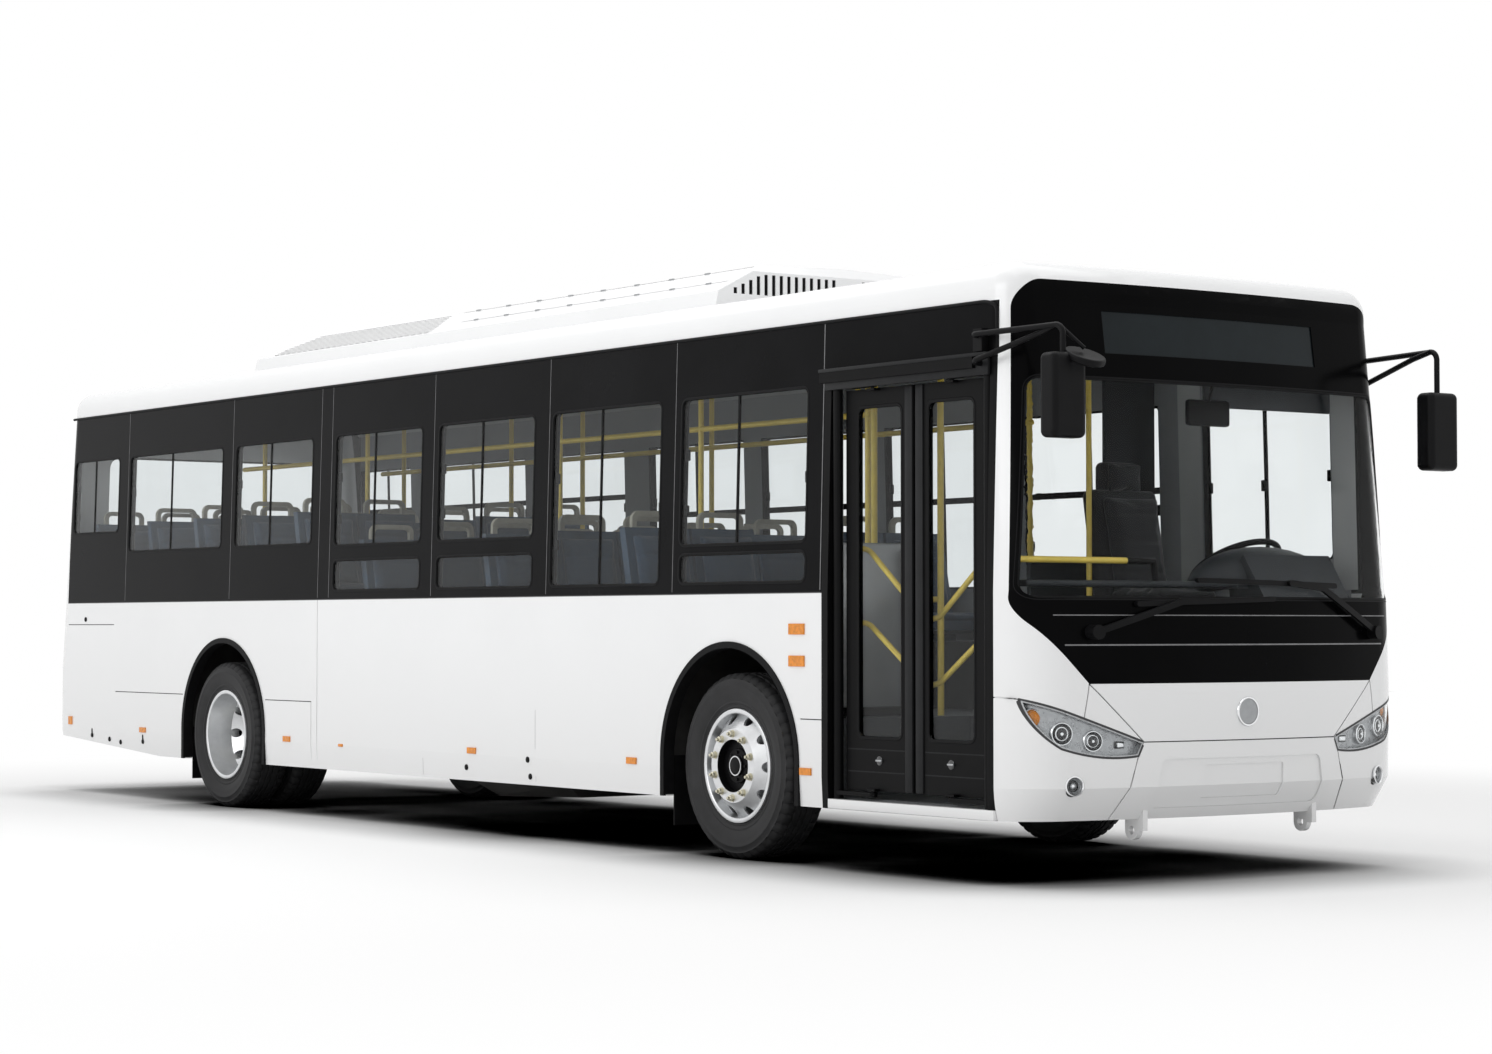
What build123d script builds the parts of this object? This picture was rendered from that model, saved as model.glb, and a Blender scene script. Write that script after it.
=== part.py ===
"""A city bus with one double-leaf entrance beside the driver, twin rear wheels and a roof air conditioner.

Millimetres. X points forward, Y to the left, Z up. The origin is on the ground under the middle of the bus.
"""

import os
from math import atan2, degrees

from build123d import *

os.makedirs("parts", exist_ok=True)

# Running gear
WHEELBASE = 5900
FRONT_AXLE_X = 2970
REAR_AXLE_X = FRONT_AXLE_X - WHEELBASE
TYRE_R = 485
TYRE_WIDTH = 275
BEAD_R = 286
FLANGE_R = 298
RIM_WALL = 12
FRONT_TRACK_Y = 1076
TWIN_OUTER_Y = 1108
TWIN_PITCH = 312
KINGPIN_Y = 890
AXLE_Z = TYRE_R
HUB_R = 110
HUB_BORE_R = 138
HUB_FLANGE_R = 172
HUB_FACE = 100
HUB_CAP_R = 52
REAR_HUB_END = -95
DRUM_R = 205
RIM_HALF = 105
DISC_FACE = 145
DISC_THICK = 12
HAND_HOLES = 10
HAND_HOLE_R = 30
HAND_HOLE_PCD = 500
SPINDLE_R = 35
SPINDLE_END = 90
REAR_SPINDLE_END = 40
BEAM_Z = 290
BEAM_END_Y = 760
UPRIGHT_Y = 680
FIST_Z = AXLE_Z
FIST_HALF = 70
FORK_LOW_Z = 378
FORK_TOP_Z = 592
KINGPIN_R = 22
STEER_ARM = 220
TIE_ROD_Y = KINGPIN_Y
STEER_DEG = 40
RAIL_Y = 430
RAIL_LOW_Z = 570
RAIL_REAR_X = -5430
RAIL_FRONT_X = 3760
CROSS_MEMBERS_X = (-5340, -4720, -3700, -2100, -600, 1000, 2200, 3700)
SPRING_R = 80

# Body envelope
FRONT_OVERHANG = 2545
REAR_OVERHANG = 2815
FRONT_FACE_X = FRONT_AXLE_X + FRONT_OVERHANG
REAR_FACE_X = REAR_AXLE_X - REAR_OVERHANG
HALF_WIDTH = 1250
WALL = 50
SKIRT_Z = 305
KNEE_Z = 460
BONNET_Z = 900
BELT_Z = 1380
GUTTER_Z = 2744
ROOF_RISE = 190
ROOF_Z = GUTTER_Z + ROOF_RISE
ROOF_EDGE_R = 140
REAR_BOW = 40
REAR_CORNER_R = 150
FRONT_SPLIT_X = FRONT_FACE_X - 400
REAR_SPLIT_X = REAR_FACE_X + 245
TAIL_RISE = 115
TAIL_RISE_X = REAR_AXLE_X - 1000
SEAM = 6

# Height, front set-back, tail set-forward, side set-in, front bow and front corner radius of each section
SECTIONS = (
    (SKIRT_Z, 110, 25, 8, 160, 280),
    (KNEE_Z, 10, 0, 0, 160, 280),
    (BONNET_Z, 0, 0, 0, 160, 280),
    (BELT_Z, 25, 60, 0, 160, 260),
    (GUTTER_Z, 235, 150, 36, 80, 150),
)

# Wheel arches
ARCH_R = 590
ARCH_Z = 510
ARCH_LIP = 34
ARCH_LIP_PROUD = 8
HOUSING_WALL = 6
HOUSING_Z = 1130
HOUSING_LOW_Z = 470
FRONT_HOUSING_Y = 520
REAR_HOUSING_Y = 600

# Windows: rear edge, front edge, sill and head of each pane
WINDOW_HEAD = 2425
RIGHT_PANES = (
    (2505, 3640, 1640, WINDOW_HEAD),
    (2505, 3640, 1437, 1595),
    (1205, 2315, 1437, WINDOW_HEAD),
    (-85, 1015, 1722, WINDOW_HEAD),
    (-85, 1015, 1437, 1632),
    (-1390, -280, 1722, WINDOW_HEAD),
    (-1390, -280, 1437, 1632),
    (-2800, -1695, 1742, WINDOW_HEAD),
    (-4480, -2995, 1742, WINDOW_HEAD),
    (-5445, -4660, 1890, WINDOW_HEAD),
)
LEFT_PANES = (
    (3985, 4925, 1560, WINDOW_HEAD),
    (2505, 3640, 1437, WINDOW_HEAD),
    (1205, 2315, 1437, WINDOW_HEAD),
    (-85, 1015, 1437, WINDOW_HEAD),
    (-1390, -280, 1437, WINDOW_HEAD),
    (-2800, -1695, 1742, WINDOW_HEAD),
    (-4480, -2995, 1742, WINDOW_HEAD),
    (-5445, -4660, 1742, WINDOW_HEAD),
)
PANE_CORNER_R = 45
GLASS = 8
GLASS_SET_IN = 6

# Front end, as half widths and heights seen from ahead
MASK_TOP_Z = 2845
MASK_TOP_Y = 1176
MASK_TOP_R = 150
MASK_SIDE_Y = 1240
MASK_KNEE_Z = 1279
MASK_KNEE_R = 180
MASK_LOW_Y = 930
MASK_LOW_Z = 945
MASK_LOW_Y_Z = (MASK_LOW_Y, MASK_LOW_Z)
SCREEN_TOP = (1150, 2382)
SCREEN_LOW = (1222, 1345)
SCREEN_R = 70
SIGN_HALF = 700
SIGN_LOW_Z = 2505
SIGN_TOP_Z = 2708
SIGN_DEPTH = 30
LAMP_TIP = (1222, 876)
LAMP_IN_TOP = (629, 671)
LAMP_IN_LOW = (660, 606)
LAMP_LOW_MID = (900, 607)
LAMP_LOW_END = (1070, 645)
LAMP_OUT_MID = (1165, 730)
LAMP_SEAM_END = (1300, 903)
LAMP_REAR_X = FRONT_FACE_X - 310
LAMP_DISH = 38
BUMPER_FOOT_Y = 750
FOG_YZ = (1000, 469)
FOG_R = 48
LEDGE_TOP_Y = 520
LEDGE_TOP_Z = 590
LEDGE_LOW_Y = 560
LEDGE_LOW_Z = 356
LEDGE_DEPTH = 10
PLATE_Z = 478
PLATE_WIDTH = 520
PLATE_HEIGHT = 160
PLATE_DEPTH = 18
# Ends of each panel seam on one half of the front, seen from ahead
FRONT_SEAMS = (
    (MASK_LOW_Y_Z, LAMP_IN_TOP),
    (MASK_LOW_Y_Z, (960, 772)),
    (LAMP_IN_LOW, (BUMPER_FOOT_Y, 300)),
    (LAMP_TIP, (1250, 882)),
    ((0, LAMP_IN_TOP[1]), LAMP_IN_TOP),
)
# Rear end, front end, low edge and high edge of each thin seam on the right flank
FLANK_SEAMS = (
    (-5490, -4689, 1221, 1227),
    (-4665, -3545, 742, 748),
    (-2312, -1665, 727, 733),
    (-1668, -1662, 300, 733),
    (-1588, -1582, 300, 1380),
    (3600, 3780, 742, 748),
)

# Tail
REAR_WINDOW_HALF = 900
REAR_WINDOW_LOW = 1830
REAR_WINDOW_TOP = 2480
LID_HALF = 860
LID_LOW_Z = 640
LID_TOP_Z = 1560
LID_GAP = 7
LID_HINGE_Y = (-520, 520)
LID_HINGE_X = REAR_FACE_X + 55
LID_HINGE_Z = LID_TOP_Z
LID_KNUCKLE_R = 13
LID_PIN_R = 8
REAR_BUMPER_Z = 600
TAIL_LAMP_Y = 1030
TAIL_LAMP_WIDTH = 130
TAIL_LAMP_LOW = 820
TAIL_LAMP_TOP = 1330

# Entrance
DOOR_REAR_X = 3780
DOOR_FRONT_X = FRONT_SPLIT_X
DOOR_HEAD_Z = 2490
JAMB = 50
POST_R = 25
POST_INSET = 32
POST_Y = -(HALF_WIDTH - 46)
LEAF_SET_IN = 38
LEAF_THICK = 36
LEAF_GAP = 16
GUIDE_INSET = 20
LEAF_POST_GAP = 14
LEAF_LOW_Z = 402
LEAF_TOP_Z = 2388
LEAF_STILE = 92
LEAF_GLASS_LOW_Z = 660
LEAF_GLASS_TOP_Z = 2300
ARM_THICK = 20
ARM_WIDTH = 44
ARM_CLEAR = 6
PIVOT_R = 9
SILL_Z = 352
HEADER_PROUD = 14
DOOR_OPEN_DEG = 88
DOOR_RAILS = ((1600, 1250), (1230, 930))
RAIL_R = 14
RAIL_STAND_OFF = 70
POST_FRONT_X = DOOR_FRONT_X - JAMB - POST_INSET
POST_REAR_X = DOOR_REAR_X + JAMB + POST_INSET
DOOR_MID_X = (POST_FRONT_X + POST_REAR_X) / 2
ARM_LENGTH = ((POST_FRONT_X - POST_REAR_X) / 2 - LEAF_GAP / 2 - GUIDE_INSET) / 2
LEAF_WIDTH = 2 * ARM_LENGTH + GUIDE_INSET - POST_R - LEAF_POST_GAP

# Roof air conditioner and mirrors
UNIT_REAR_X = -3150
UNIT_FRONT_X = 2375
UNIT_SHOULDER_Z = 3045
UNIT_TOP_Z = 3225
UNIT_TAIL_SLOPE = 420
UNIT_SECTION = ((0, UNIT_TOP_Z), (600, UNIT_TOP_Z - 25), (895, UNIT_SHOULDER_Z), (920, ROOF_Z))
UNIT_SLOTS = 14
UNIT_SLOT_START = 105
UNIT_SLOT_PITCH = 52
UNIT_SLOT_LOW = 3035
UNIT_SLOT_TOP = 3150
UNIT_SLOT_ARCH = 3420
UNIT_SLOT_FALL = 0.45
MIRROR_ROOT_X = 5020
MIRROR_X = 5600
MIRROR_Y = 1240
MIRROR_TUBE_R = 14
MIRROR_WIDTH = 205
MIRROR_HEIGHT = 390
MIRROR_DEPTH = 110
KERB_X = 5645
KERB_R = 100

MARKER_PROUD = 8
# Middle, height, length and height of each amber lamp
MARKERS = (
    (3575, 1199, 130, 55),
    (3575, 1037, 130, 55),
    (3650, 482, 95, 36),
    (2062, 482, 95, 36),
    (356, 482, 95, 36),
    (-1995, 482, 95, 36),
    (-4190, 482, 95, 36),
    (-5440, 520, 60, 60),
)
BLADE_PROUD = 22
ARM_PROUD = 40
BLADE_WIDTH = 26
WIPER_ARM_WIDTH = 30
WIPER_PIVOT_R = 34
WIPER_BLADES = (((-657, 1318), (185, 1345)), ((-291, 1432), (651, 1412)))
WIPER_ARMS = (
    ((-910, 1186), (-420, 1330)),
    ((-420, 1330), (-300, 1332)),
    ((958, 1183), (530, 1400)),
    ((530, 1400), (300, 1422)),
)
WIPER_PIVOTS = ((-910, 1186), (958, 1183))

# Floor and inside
FLOOR_Z = 750
FLOOR_THICK = 60
FLOOR_FRONT_X = FRONT_SPLIT_X - 85
STEP_RISE = 195
STEP_Z = FLOOR_Z - 2 * STEP_RISE
STEP_EDGES_Y = (-600, -300)
PODIUM_Z = 950
PODIUM_FRONT_X = -1560
BENCH_Z = 1130
BENCH_FRONT_X = -4560
DRIVER_Z = 900
DRIVER_REAR_X = 3560
DRIVER_Y = 700
SEAT_WIDTH = 430
# Side outlines of a seat back and a squab: distance ahead of the row's datum and height above its floor
BACK_TOP = 1012
BACK_OUTLINE = ((-95, BACK_TOP), (-40, BACK_TOP), (75, 485), (30, 410))
SQUAB_OUTLINE = ((75, 485), (455, 495), (465, 440), (30, 410))
SEAT_JOINT = 0.4
SEAT_BEAM = (150, 230)
SEAT_BEAM_LOW = 363
SEAT_BEAM_TOP = 418
SEAT_LEG_HALF = 35
RIGHT_PAIR = (-915, -467)
LEFT_PAIR = (915, 467)
# Back edge, seat datum, leg foot, seat middles and leg position of each row
SEAT_ROWS = (
    *((x, FLOOR_Z, FLOOR_Z, RIGHT_PAIR, -690) for x in (1850, 1100, 350, -400, -1150)),
    *((x, FLOOR_Z, FLOOR_Z, LEFT_PAIR, 690) for x in (1850, 1100, 350, -400, -1150)),
    *((x, PODIUM_Z, PODIUM_Z, RIGHT_PAIR, -467) for x in (-2050, -2800, -3550, -4300)),
    *((x, PODIUM_Z, PODIUM_Z, LEFT_PAIR, 467) for x in (-2050, -2800, -3550, -4300)),
    (-5180, PODIUM_Z, BENCH_Z, (-920, -460, 0, 460, 920), 0),
)
GRAB_Y = 560
GRAB_Z = 2330
GRAB_R = 16
GRAB_ENDS_X = (-4000, 3300)
GRAB_POLES = (
    (3275, HOUSING_Z),
    (1730, FLOOR_Z),
    (230, FLOOR_Z),
    (-1270, FLOOR_Z),
    (-2180, PODIUM_Z),
    (-3680, PODIUM_Z),
)
HANDLE_RISE = 95
HANDLE_WIDTH = 310
HANDLE_BAND = 30
HANDLE_THICK = 28
DRIVER_SEAT_X = 3900
DASH_REAR_X = 4960
DASH_LEFT_Y = 1140
DASH_RIGHT_Y = -430
DASH_Z = 1310
COWL_Z = 1570
STEER_WHEEL_X = 4715
STEER_WHEEL_Z = 1525
STEER_WHEEL_R = 235
COLUMN = 540
# Eye, eye height, root and root height of each pair
TOW_LUGS = ((5320, 250, 5400, 440), (-5600, 352, -5690, 540))
TOW_Y = 560
TOW_R = 45
TOW_HOLE_R = 20
TOW_THICK = 30
CEILING_Z = ROOF_Z - WALL


def save(part, name):
    """Labels one finished piece and writes it under its own name."""
    part.label = name
    export_step(part, f"parts/{name}.step")


def plan(row, inset):
    """One horizontal section of the body: bowed front and tail with rounded corners."""
    z, front_back, tail_forward, side_in, front_bow, corner = row
    front = FRONT_FACE_X - front_back - inset
    tail = REAR_FACE_X + tail_forward + inset
    half = HALF_WIDTH - side_in - inset
    with BuildSketch(Plane.XY.offset(z)) as section:
        with BuildLine():
            ThreePointArc((front - front_bow, half), (front, 0), (front - front_bow, -half))
            Line((front - front_bow, -half), (tail + REAR_BOW, -half))
            ThreePointArc((tail + REAR_BOW, -half), (tail, 0), (tail + REAR_BOW, half))
            Line((tail + REAR_BOW, half), (front - front_bow, half))
        make_face()
        fillet(section.vertices().group_by(Axis.X)[-1], corner - inset)
        fillet(section.vertices().group_by(Axis.X)[0], REAR_CORNER_R - inset)
    return section.sketch


def envelope(inset):
    """The closed outline of the body, taken in by a wall thickness."""
    with BuildPart() as cap:
        extrude(plan(SECTIONS[-1], inset), ROOF_RISE - inset)
        fillet(cap.faces().sort_by(Axis.Z)[-1].edges(), ROOF_EDGE_R - inset)
    with BuildPart() as body:
        loft([plan(row, inset) for row in SECTIONS], ruled=True)
        add(cap.part)
        if inset:
            extrude(plan(SECTIONS[0], inset), -inset)
    return body.part


def from_front(outline, start=FRONT_SPLIT_X, depth=500):
    """A prism along X behind an outline drawn as seen from ahead."""
    with BuildPart() as prism:
        with BuildSketch(Plane.YZ.offset(start)):
            add(outline)
        extrude(amount=depth)
    return prism.part


def from_side(rows, side, radius=PANE_CORNER_R):
    """Prisms along Y, from the middle outwards, for rounded rectangles on one side."""
    with BuildPart() as prisms:
        with BuildSketch(Plane.XZ):
            for rear, front, low, high in rows:
                with Locations(((rear + front) / 2, (low + high) / 2)):
                    RectangleRounded(front - rear, high - low, radius)
        extrude(amount=-side * 1.2 * HALF_WIDTH)
    return prisms.part


def both_sides(points):
    """A closed outline symmetric about Y 0 from its points on one side, top to bottom."""
    return list(points) + [(-y, z) for y, z in reversed(points) if y]


def tube(points, radius, bend):
    """A round bar along a bent path."""
    with BuildPart() as bar:
        with BuildLine() as path:
            FilletPolyline(*points, radius=bend)
        with BuildSketch(path.line ^ 0):
            Circle(radius)
        sweep()
    return bar.part


def rod(a, b, radius):
    """A straight round bar between two points."""
    start = Vector(*a)
    along = Vector(*b) - start
    with BuildPart() as bar:
        with BuildSketch(Plane(origin=start, z_dir=along)):
            Circle(radius)
        extrude(amount=along.length)
    return bar.part


def strips(rows, width):
    """Prisms along X behind straight strips drawn as seen from ahead."""
    with BuildSketch() as outline:
        for (y0, z0), (y1, z1) in rows:
            run = Vector(y1 - y0, z1 - z0)
            with Locations(((y0 + y1) / 2, (z0 + z1) / 2)):
                SlotCenterToCenter(run.length, width, rotation=degrees(atan2(z1 - z0, y1 - y0)))
    return from_front(outline.sketch)


def block(x0, x1, y0, y1, z0, z1):
    """A plain block between corner coordinates."""
    with BuildPart() as box:
        with Locations(((x0 + x1) / 2, (y0 + y1) / 2, (z0 + z1) / 2)):
            Box(x1 - x0, y1 - y0, z1 - z0)
    return box.part


# The body shell, cut by the rising tail, before it is parted into panels
outer = envelope(0)
inner = envelope(WALL)
with BuildPart() as shell_builder:
    add(outer)
    add(inner, mode=Mode.SUBTRACT)
    with BuildSketch(Plane.XZ):
        with BuildLine():
            Polyline(
                (TAIL_RISE_X, SKIRT_Z),
                (REAR_FACE_X - 50, SKIRT_Z + TAIL_RISE),
                (REAR_FACE_X - 50, 0),
                (TAIL_RISE_X, 0),
                close=True,
            )
        make_face()
    extrude(amount=2 * HALF_WIDTH, both=True, mode=Mode.SUBTRACT)
shell = shell_builder.part
skin = envelope(GLASS_SET_IN) - envelope(GLASS_SET_IN + GLASS)
lamp_cavity = outer - envelope(LAMP_DISH)
groove_layer = outer - envelope(SEAM)
seam_rows = [*FRONT_SEAMS, *(((-y0, z0), (-y1, z1)) for (y0, z0), (y1, z1) in FRONT_SEAMS)]
front_grooves = groove_layer & strips(seam_rows, SEAM)

# Outlines on the front end
with BuildSketch() as mask_outline:
    with BuildLine():
        Polyline(
            *both_sides(((MASK_TOP_Y, MASK_TOP_Z), (MASK_SIDE_Y, MASK_KNEE_Z), (MASK_LOW_Y, MASK_LOW_Z))),
            close=True,
        )
    make_face()
    fillet(mask_outline.vertices().group_by(Axis.Y)[-1], MASK_TOP_R)
    fillet(mask_outline.vertices().filter_by_position(Axis.Y, MASK_KNEE_Z - 1, MASK_KNEE_Z + 1), MASK_KNEE_R)
with BuildSketch() as screen_outline:
    with BuildLine():
        Polyline(*both_sides((SCREEN_TOP, SCREEN_LOW)), close=True)
    make_face()
    fillet(screen_outline.vertices(), SCREEN_R)
with BuildSketch() as sign_outline:
    with Locations((0, (SIGN_LOW_Z + SIGN_TOP_Z) / 2)):
        Rectangle(2 * SIGN_HALF, SIGN_TOP_Z - SIGN_LOW_Z)
with BuildSketch() as bonnet_outline:
    with BuildLine():
        Polyline(*both_sides(((MASK_LOW_Y, MASK_LOW_Z), LAMP_IN_TOP)), close=True)
    make_face()
with BuildSketch() as lamp_outline:
    with BuildLine():
        Polyline(LAMP_TIP, LAMP_IN_TOP, LAMP_IN_LOW)
        ThreePointArc(LAMP_IN_LOW, LAMP_LOW_MID, LAMP_LOW_END)
        ThreePointArc(LAMP_LOW_END, LAMP_OUT_MID, LAMP_TIP)
    make_face()
    mirror(about=Plane.YZ)
with BuildSketch() as lens_outline:
    offset(lamp_outline.sketch, -10, kind=Kind.INTERSECTION)
with BuildSketch() as bumper_outline:
    with BuildLine():
        Polyline(*both_sides((LAMP_IN_TOP, LAMP_IN_LOW, (BUMPER_FOOT_Y, 0))), close=True)
    make_face()
with BuildSketch() as lower_outline:
    with BuildLine():
        Polyline(*both_sides((LAMP_IN_TOP, LAMP_TIP, LAMP_SEAM_END, (LAMP_SEAM_END[0], 0))), close=True)
    make_face()
with BuildSketch() as fog_outline:
    with Locations(FOG_YZ, (-FOG_YZ[0], FOG_YZ[1])):
        Circle(FOG_R)
mask_prism = from_front(mask_outline.sketch)
lamp_prism = from_front(lamp_outline.sketch, LAMP_REAR_X)
bumper_prism = from_front(bumper_outline.sketch)
bonnet_prism = from_front(bonnet_outline.sketch)
lower_prism = from_front(lower_outline.sketch)
fog_prism = from_front(fog_outline.sketch)

with BuildPart() as roof_panel:
    add(shell)
    split(bisect_by=Plane.XY.offset(GUTTER_Z), keep=Keep.TOP)
    add(mask_prism, mode=Mode.SUBTRACT)
save(roof_panel.part, "roof_panel")

with BuildPart() as front_end:
    add(shell)
    split(bisect_by=Plane.YZ.offset(FRONT_SPLIT_X), keep=Keep.TOP)
front_shell = front_end.part

with BuildPart() as front_mask:
    add(front_shell)
    add(mask_prism, mode=Mode.INTERSECT)
    add(from_front(screen_outline.sketch), mode=Mode.SUBTRACT)
    add(from_front(sign_outline.sketch), mode=Mode.SUBTRACT)
save(front_mask.part, "front_mask")

with BuildPart() as windscreen:
    add(skin)
    add(from_front(screen_outline.sketch), mode=Mode.INTERSECT)
save(windscreen.part, "windscreen")

with BuildPart() as destination_sign:
    add(skin)
    add(from_front(sign_outline.sketch), mode=Mode.INTERSECT)
save(destination_sign.part, "destination_sign")

with BuildPart() as front_bonnet:
    add(front_shell)
    add(bonnet_prism, mode=Mode.INTERSECT)
    add(front_grooves, mode=Mode.SUBTRACT)
save(front_bonnet.part, "front_bonnet")

with BuildSketch() as ledge_outline:
    with BuildLine():
        Polyline(*both_sides(((LEDGE_TOP_Y, LEDGE_TOP_Z), (LEDGE_LOW_Y, LEDGE_LOW_Z))), close=True)
    make_face()
    fillet(ledge_outline.vertices(), 40)
with BuildSketch() as plate_outline:
    with Locations((0, PLATE_Z)):
        RectangleRounded(PLATE_WIDTH, PLATE_HEIGHT, 12)
ledge = (outer - envelope(LEDGE_DEPTH)) & from_front(ledge_outline.sketch)
plate_recess = (outer - envelope(PLATE_DEPTH)) & from_front(plate_outline.sketch)

with BuildPart() as bumper_centre:
    add(front_shell)
    add(bumper_prism, mode=Mode.INTERSECT)
    add(ledge, mode=Mode.SUBTRACT)
    add(plate_recess, mode=Mode.SUBTRACT)
    add(front_grooves, mode=Mode.SUBTRACT)
save(bumper_centre.part, "bumper_centre")

with BuildPart() as bumper_corners:
    add(front_shell)
    add(lower_prism, mode=Mode.INTERSECT)
    add(lamp_prism, mode=Mode.SUBTRACT)
    add(bumper_prism, mode=Mode.SUBTRACT)
    add(fog_prism, mode=Mode.SUBTRACT)
    add(front_grooves, mode=Mode.SUBTRACT)
save(bumper_corners.part, "bumper_corners")

with BuildPart() as front_corners:
    add(front_shell)
    split(bisect_by=Plane.XY.offset(GUTTER_Z), keep=Keep.BOTTOM)
    add(mask_prism, mode=Mode.SUBTRACT)
    add(bonnet_prism, mode=Mode.SUBTRACT)
    add(lower_prism, mode=Mode.SUBTRACT)
    add(lamp_prism, mode=Mode.SUBTRACT)
    add(front_grooves, mode=Mode.SUBTRACT)
save(front_corners.part, "front_corners")

with BuildPart() as dish:
    add(lamp_cavity)
    add(from_front(lens_outline.sketch), mode=Mode.INTERSECT)

with BuildPart() as headlamps:
    add(front_shell)
    add(lamp_prism, mode=Mode.INTERSECT)
    add(dish.part, mode=Mode.SUBTRACT)
save(headlamps.part, "headlamps")

with BuildPart() as lens_prisms:
    add(from_front(lens_outline.sketch, LAMP_REAR_X))
    add(fog_prism)

with BuildPart() as lamp_lenses:
    add(skin)
    add(lens_prisms.part, mode=Mode.INTERSECT)
save(lamp_lenses.part, "lamp_lenses")


# Sides below and above the waist line
def side_shell(low, high, side):
    """The stretch of one side wall between two heights and the end panels."""
    with BuildPart() as wall:
        add(shell)
        with Locations(((REAR_SPLIT_X + FRONT_SPLIT_X) / 2, side * HALF_WIDTH, (low + high) / 2)):
            Box(FRONT_SPLIT_X - REAR_SPLIT_X, 6 * WALL, high - low, mode=Mode.INTERSECT)
    return wall.part


door_prism = block(DOOR_REAR_X, DOOR_FRONT_X, -2 * HALF_WIDTH, 0, -100, DOOR_HEAD_Z)

for name, side in (("right", -1), ("left", 1)):
    with BuildPart() as side_lower:
        add(side_shell(0, BELT_Z, side))
        for axle_x in (FRONT_AXLE_X, REAR_AXLE_X):
            with Locations((axle_x, side * HALF_WIDTH, ARCH_Z)):
                Cylinder(ARCH_R, 4 * WALL, rotation=(90, 0, 0), mode=Mode.SUBTRACT)
                Box(
                    2 * ARCH_R,
                    4 * WALL,
                    ARCH_Z,
                    align=(Align.CENTER, Align.CENTER, Align.MAX),
                    mode=Mode.SUBTRACT,
                )
        if side < 0:
            add(door_prism, mode=Mode.SUBTRACT)
            for rear, front, low, high in FLANK_SEAMS:
                add(block(rear, front, -HALF_WIDTH - 10, SEAM - HALF_WIDTH, low, high), mode=Mode.SUBTRACT)
    save(side_lower.part, f"side_lower_{name}")

    with BuildPart() as window_band:
        add(side_shell(BELT_Z, GUTTER_Z, side))
        add(from_side(RIGHT_PANES if side < 0 else LEFT_PANES, side), mode=Mode.SUBTRACT)
        if side < 0:
            add(door_prism, mode=Mode.SUBTRACT)
    save(window_band.part, f"window_band_{name}")

with BuildPart() as pane_prisms:
    add(from_side(RIGHT_PANES, -1))
    add(from_side(LEFT_PANES, 1))

with BuildPart() as side_glass:
    add(skin)
    add(pane_prisms.part, mode=Mode.INTERSECT)
save(side_glass.part, "side_glass")

# Tail
with BuildSketch() as rear_window_outline:
    with Locations((0, (REAR_WINDOW_LOW + REAR_WINDOW_TOP) / 2)):
        RectangleRounded(2 * REAR_WINDOW_HALF, REAR_WINDOW_TOP - REAR_WINDOW_LOW, 90)
with BuildSketch() as lid_hole_outline:
    with Locations((0, (LID_LOW_Z + LID_TOP_Z) / 2)):
        RectangleRounded(2 * LID_HALF, LID_TOP_Z - LID_LOW_Z, 60)
with BuildSketch() as lid_outline:
    offset(lid_hole_outline.sketch, -LID_GAP)
with BuildSketch() as tail_lamp_outline:
    for side in (-1, 1):
        with Locations((side * TAIL_LAMP_Y, (TAIL_LAMP_LOW + TAIL_LAMP_TOP) / 2)):
            RectangleRounded(TAIL_LAMP_WIDTH, TAIL_LAMP_TOP - TAIL_LAMP_LOW, 25)
rear_window_prism = from_front(rear_window_outline.sketch, REAR_SPLIT_X, -500)
lid_hole_prism = from_front(lid_hole_outline.sketch, REAR_SPLIT_X, -500)
tail_lamp_prism = from_front(tail_lamp_outline.sketch, REAR_SPLIT_X, -500)

with BuildPart() as rear_end:
    add(shell)
    split(bisect_by=Plane.YZ.offset(REAR_SPLIT_X), keep=Keep.BOTTOM)
    split(bisect_by=Plane.XY.offset(GUTTER_Z), keep=Keep.BOTTOM)
rear_shell = rear_end.part

with BuildPart() as rear_panel:
    add(rear_shell)
    split(bisect_by=Plane.XY.offset(REAR_BUMPER_Z), keep=Keep.TOP)
    add(rear_window_prism, mode=Mode.SUBTRACT)
    add(lid_hole_prism, mode=Mode.SUBTRACT)
    add(tail_lamp_prism, mode=Mode.SUBTRACT)
    x, z = LID_HINGE_X, LID_HINGE_Z
    for y in LID_HINGE_Y:
        add(rod((x, y - 65, z), (x, y + 65, z), LID_PIN_R))
        for y0, y1 in ((y - 65, y - 51), (y + 51, y + 65)):
            add(rod((x, y0, z), (x, y1, z), LID_KNUCKLE_R))
            add(block(x - 13, x + 13, y0, y1, z, z + 40))
            add(block(x - 13, x + 45, y0, y1, z + 15, z + 40))
save(rear_panel.part, "rear_panel")

with BuildPart() as rear_window:
    add(skin)
    add(rear_window_prism, mode=Mode.INTERSECT)
save(rear_window.part, "rear_window")

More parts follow.
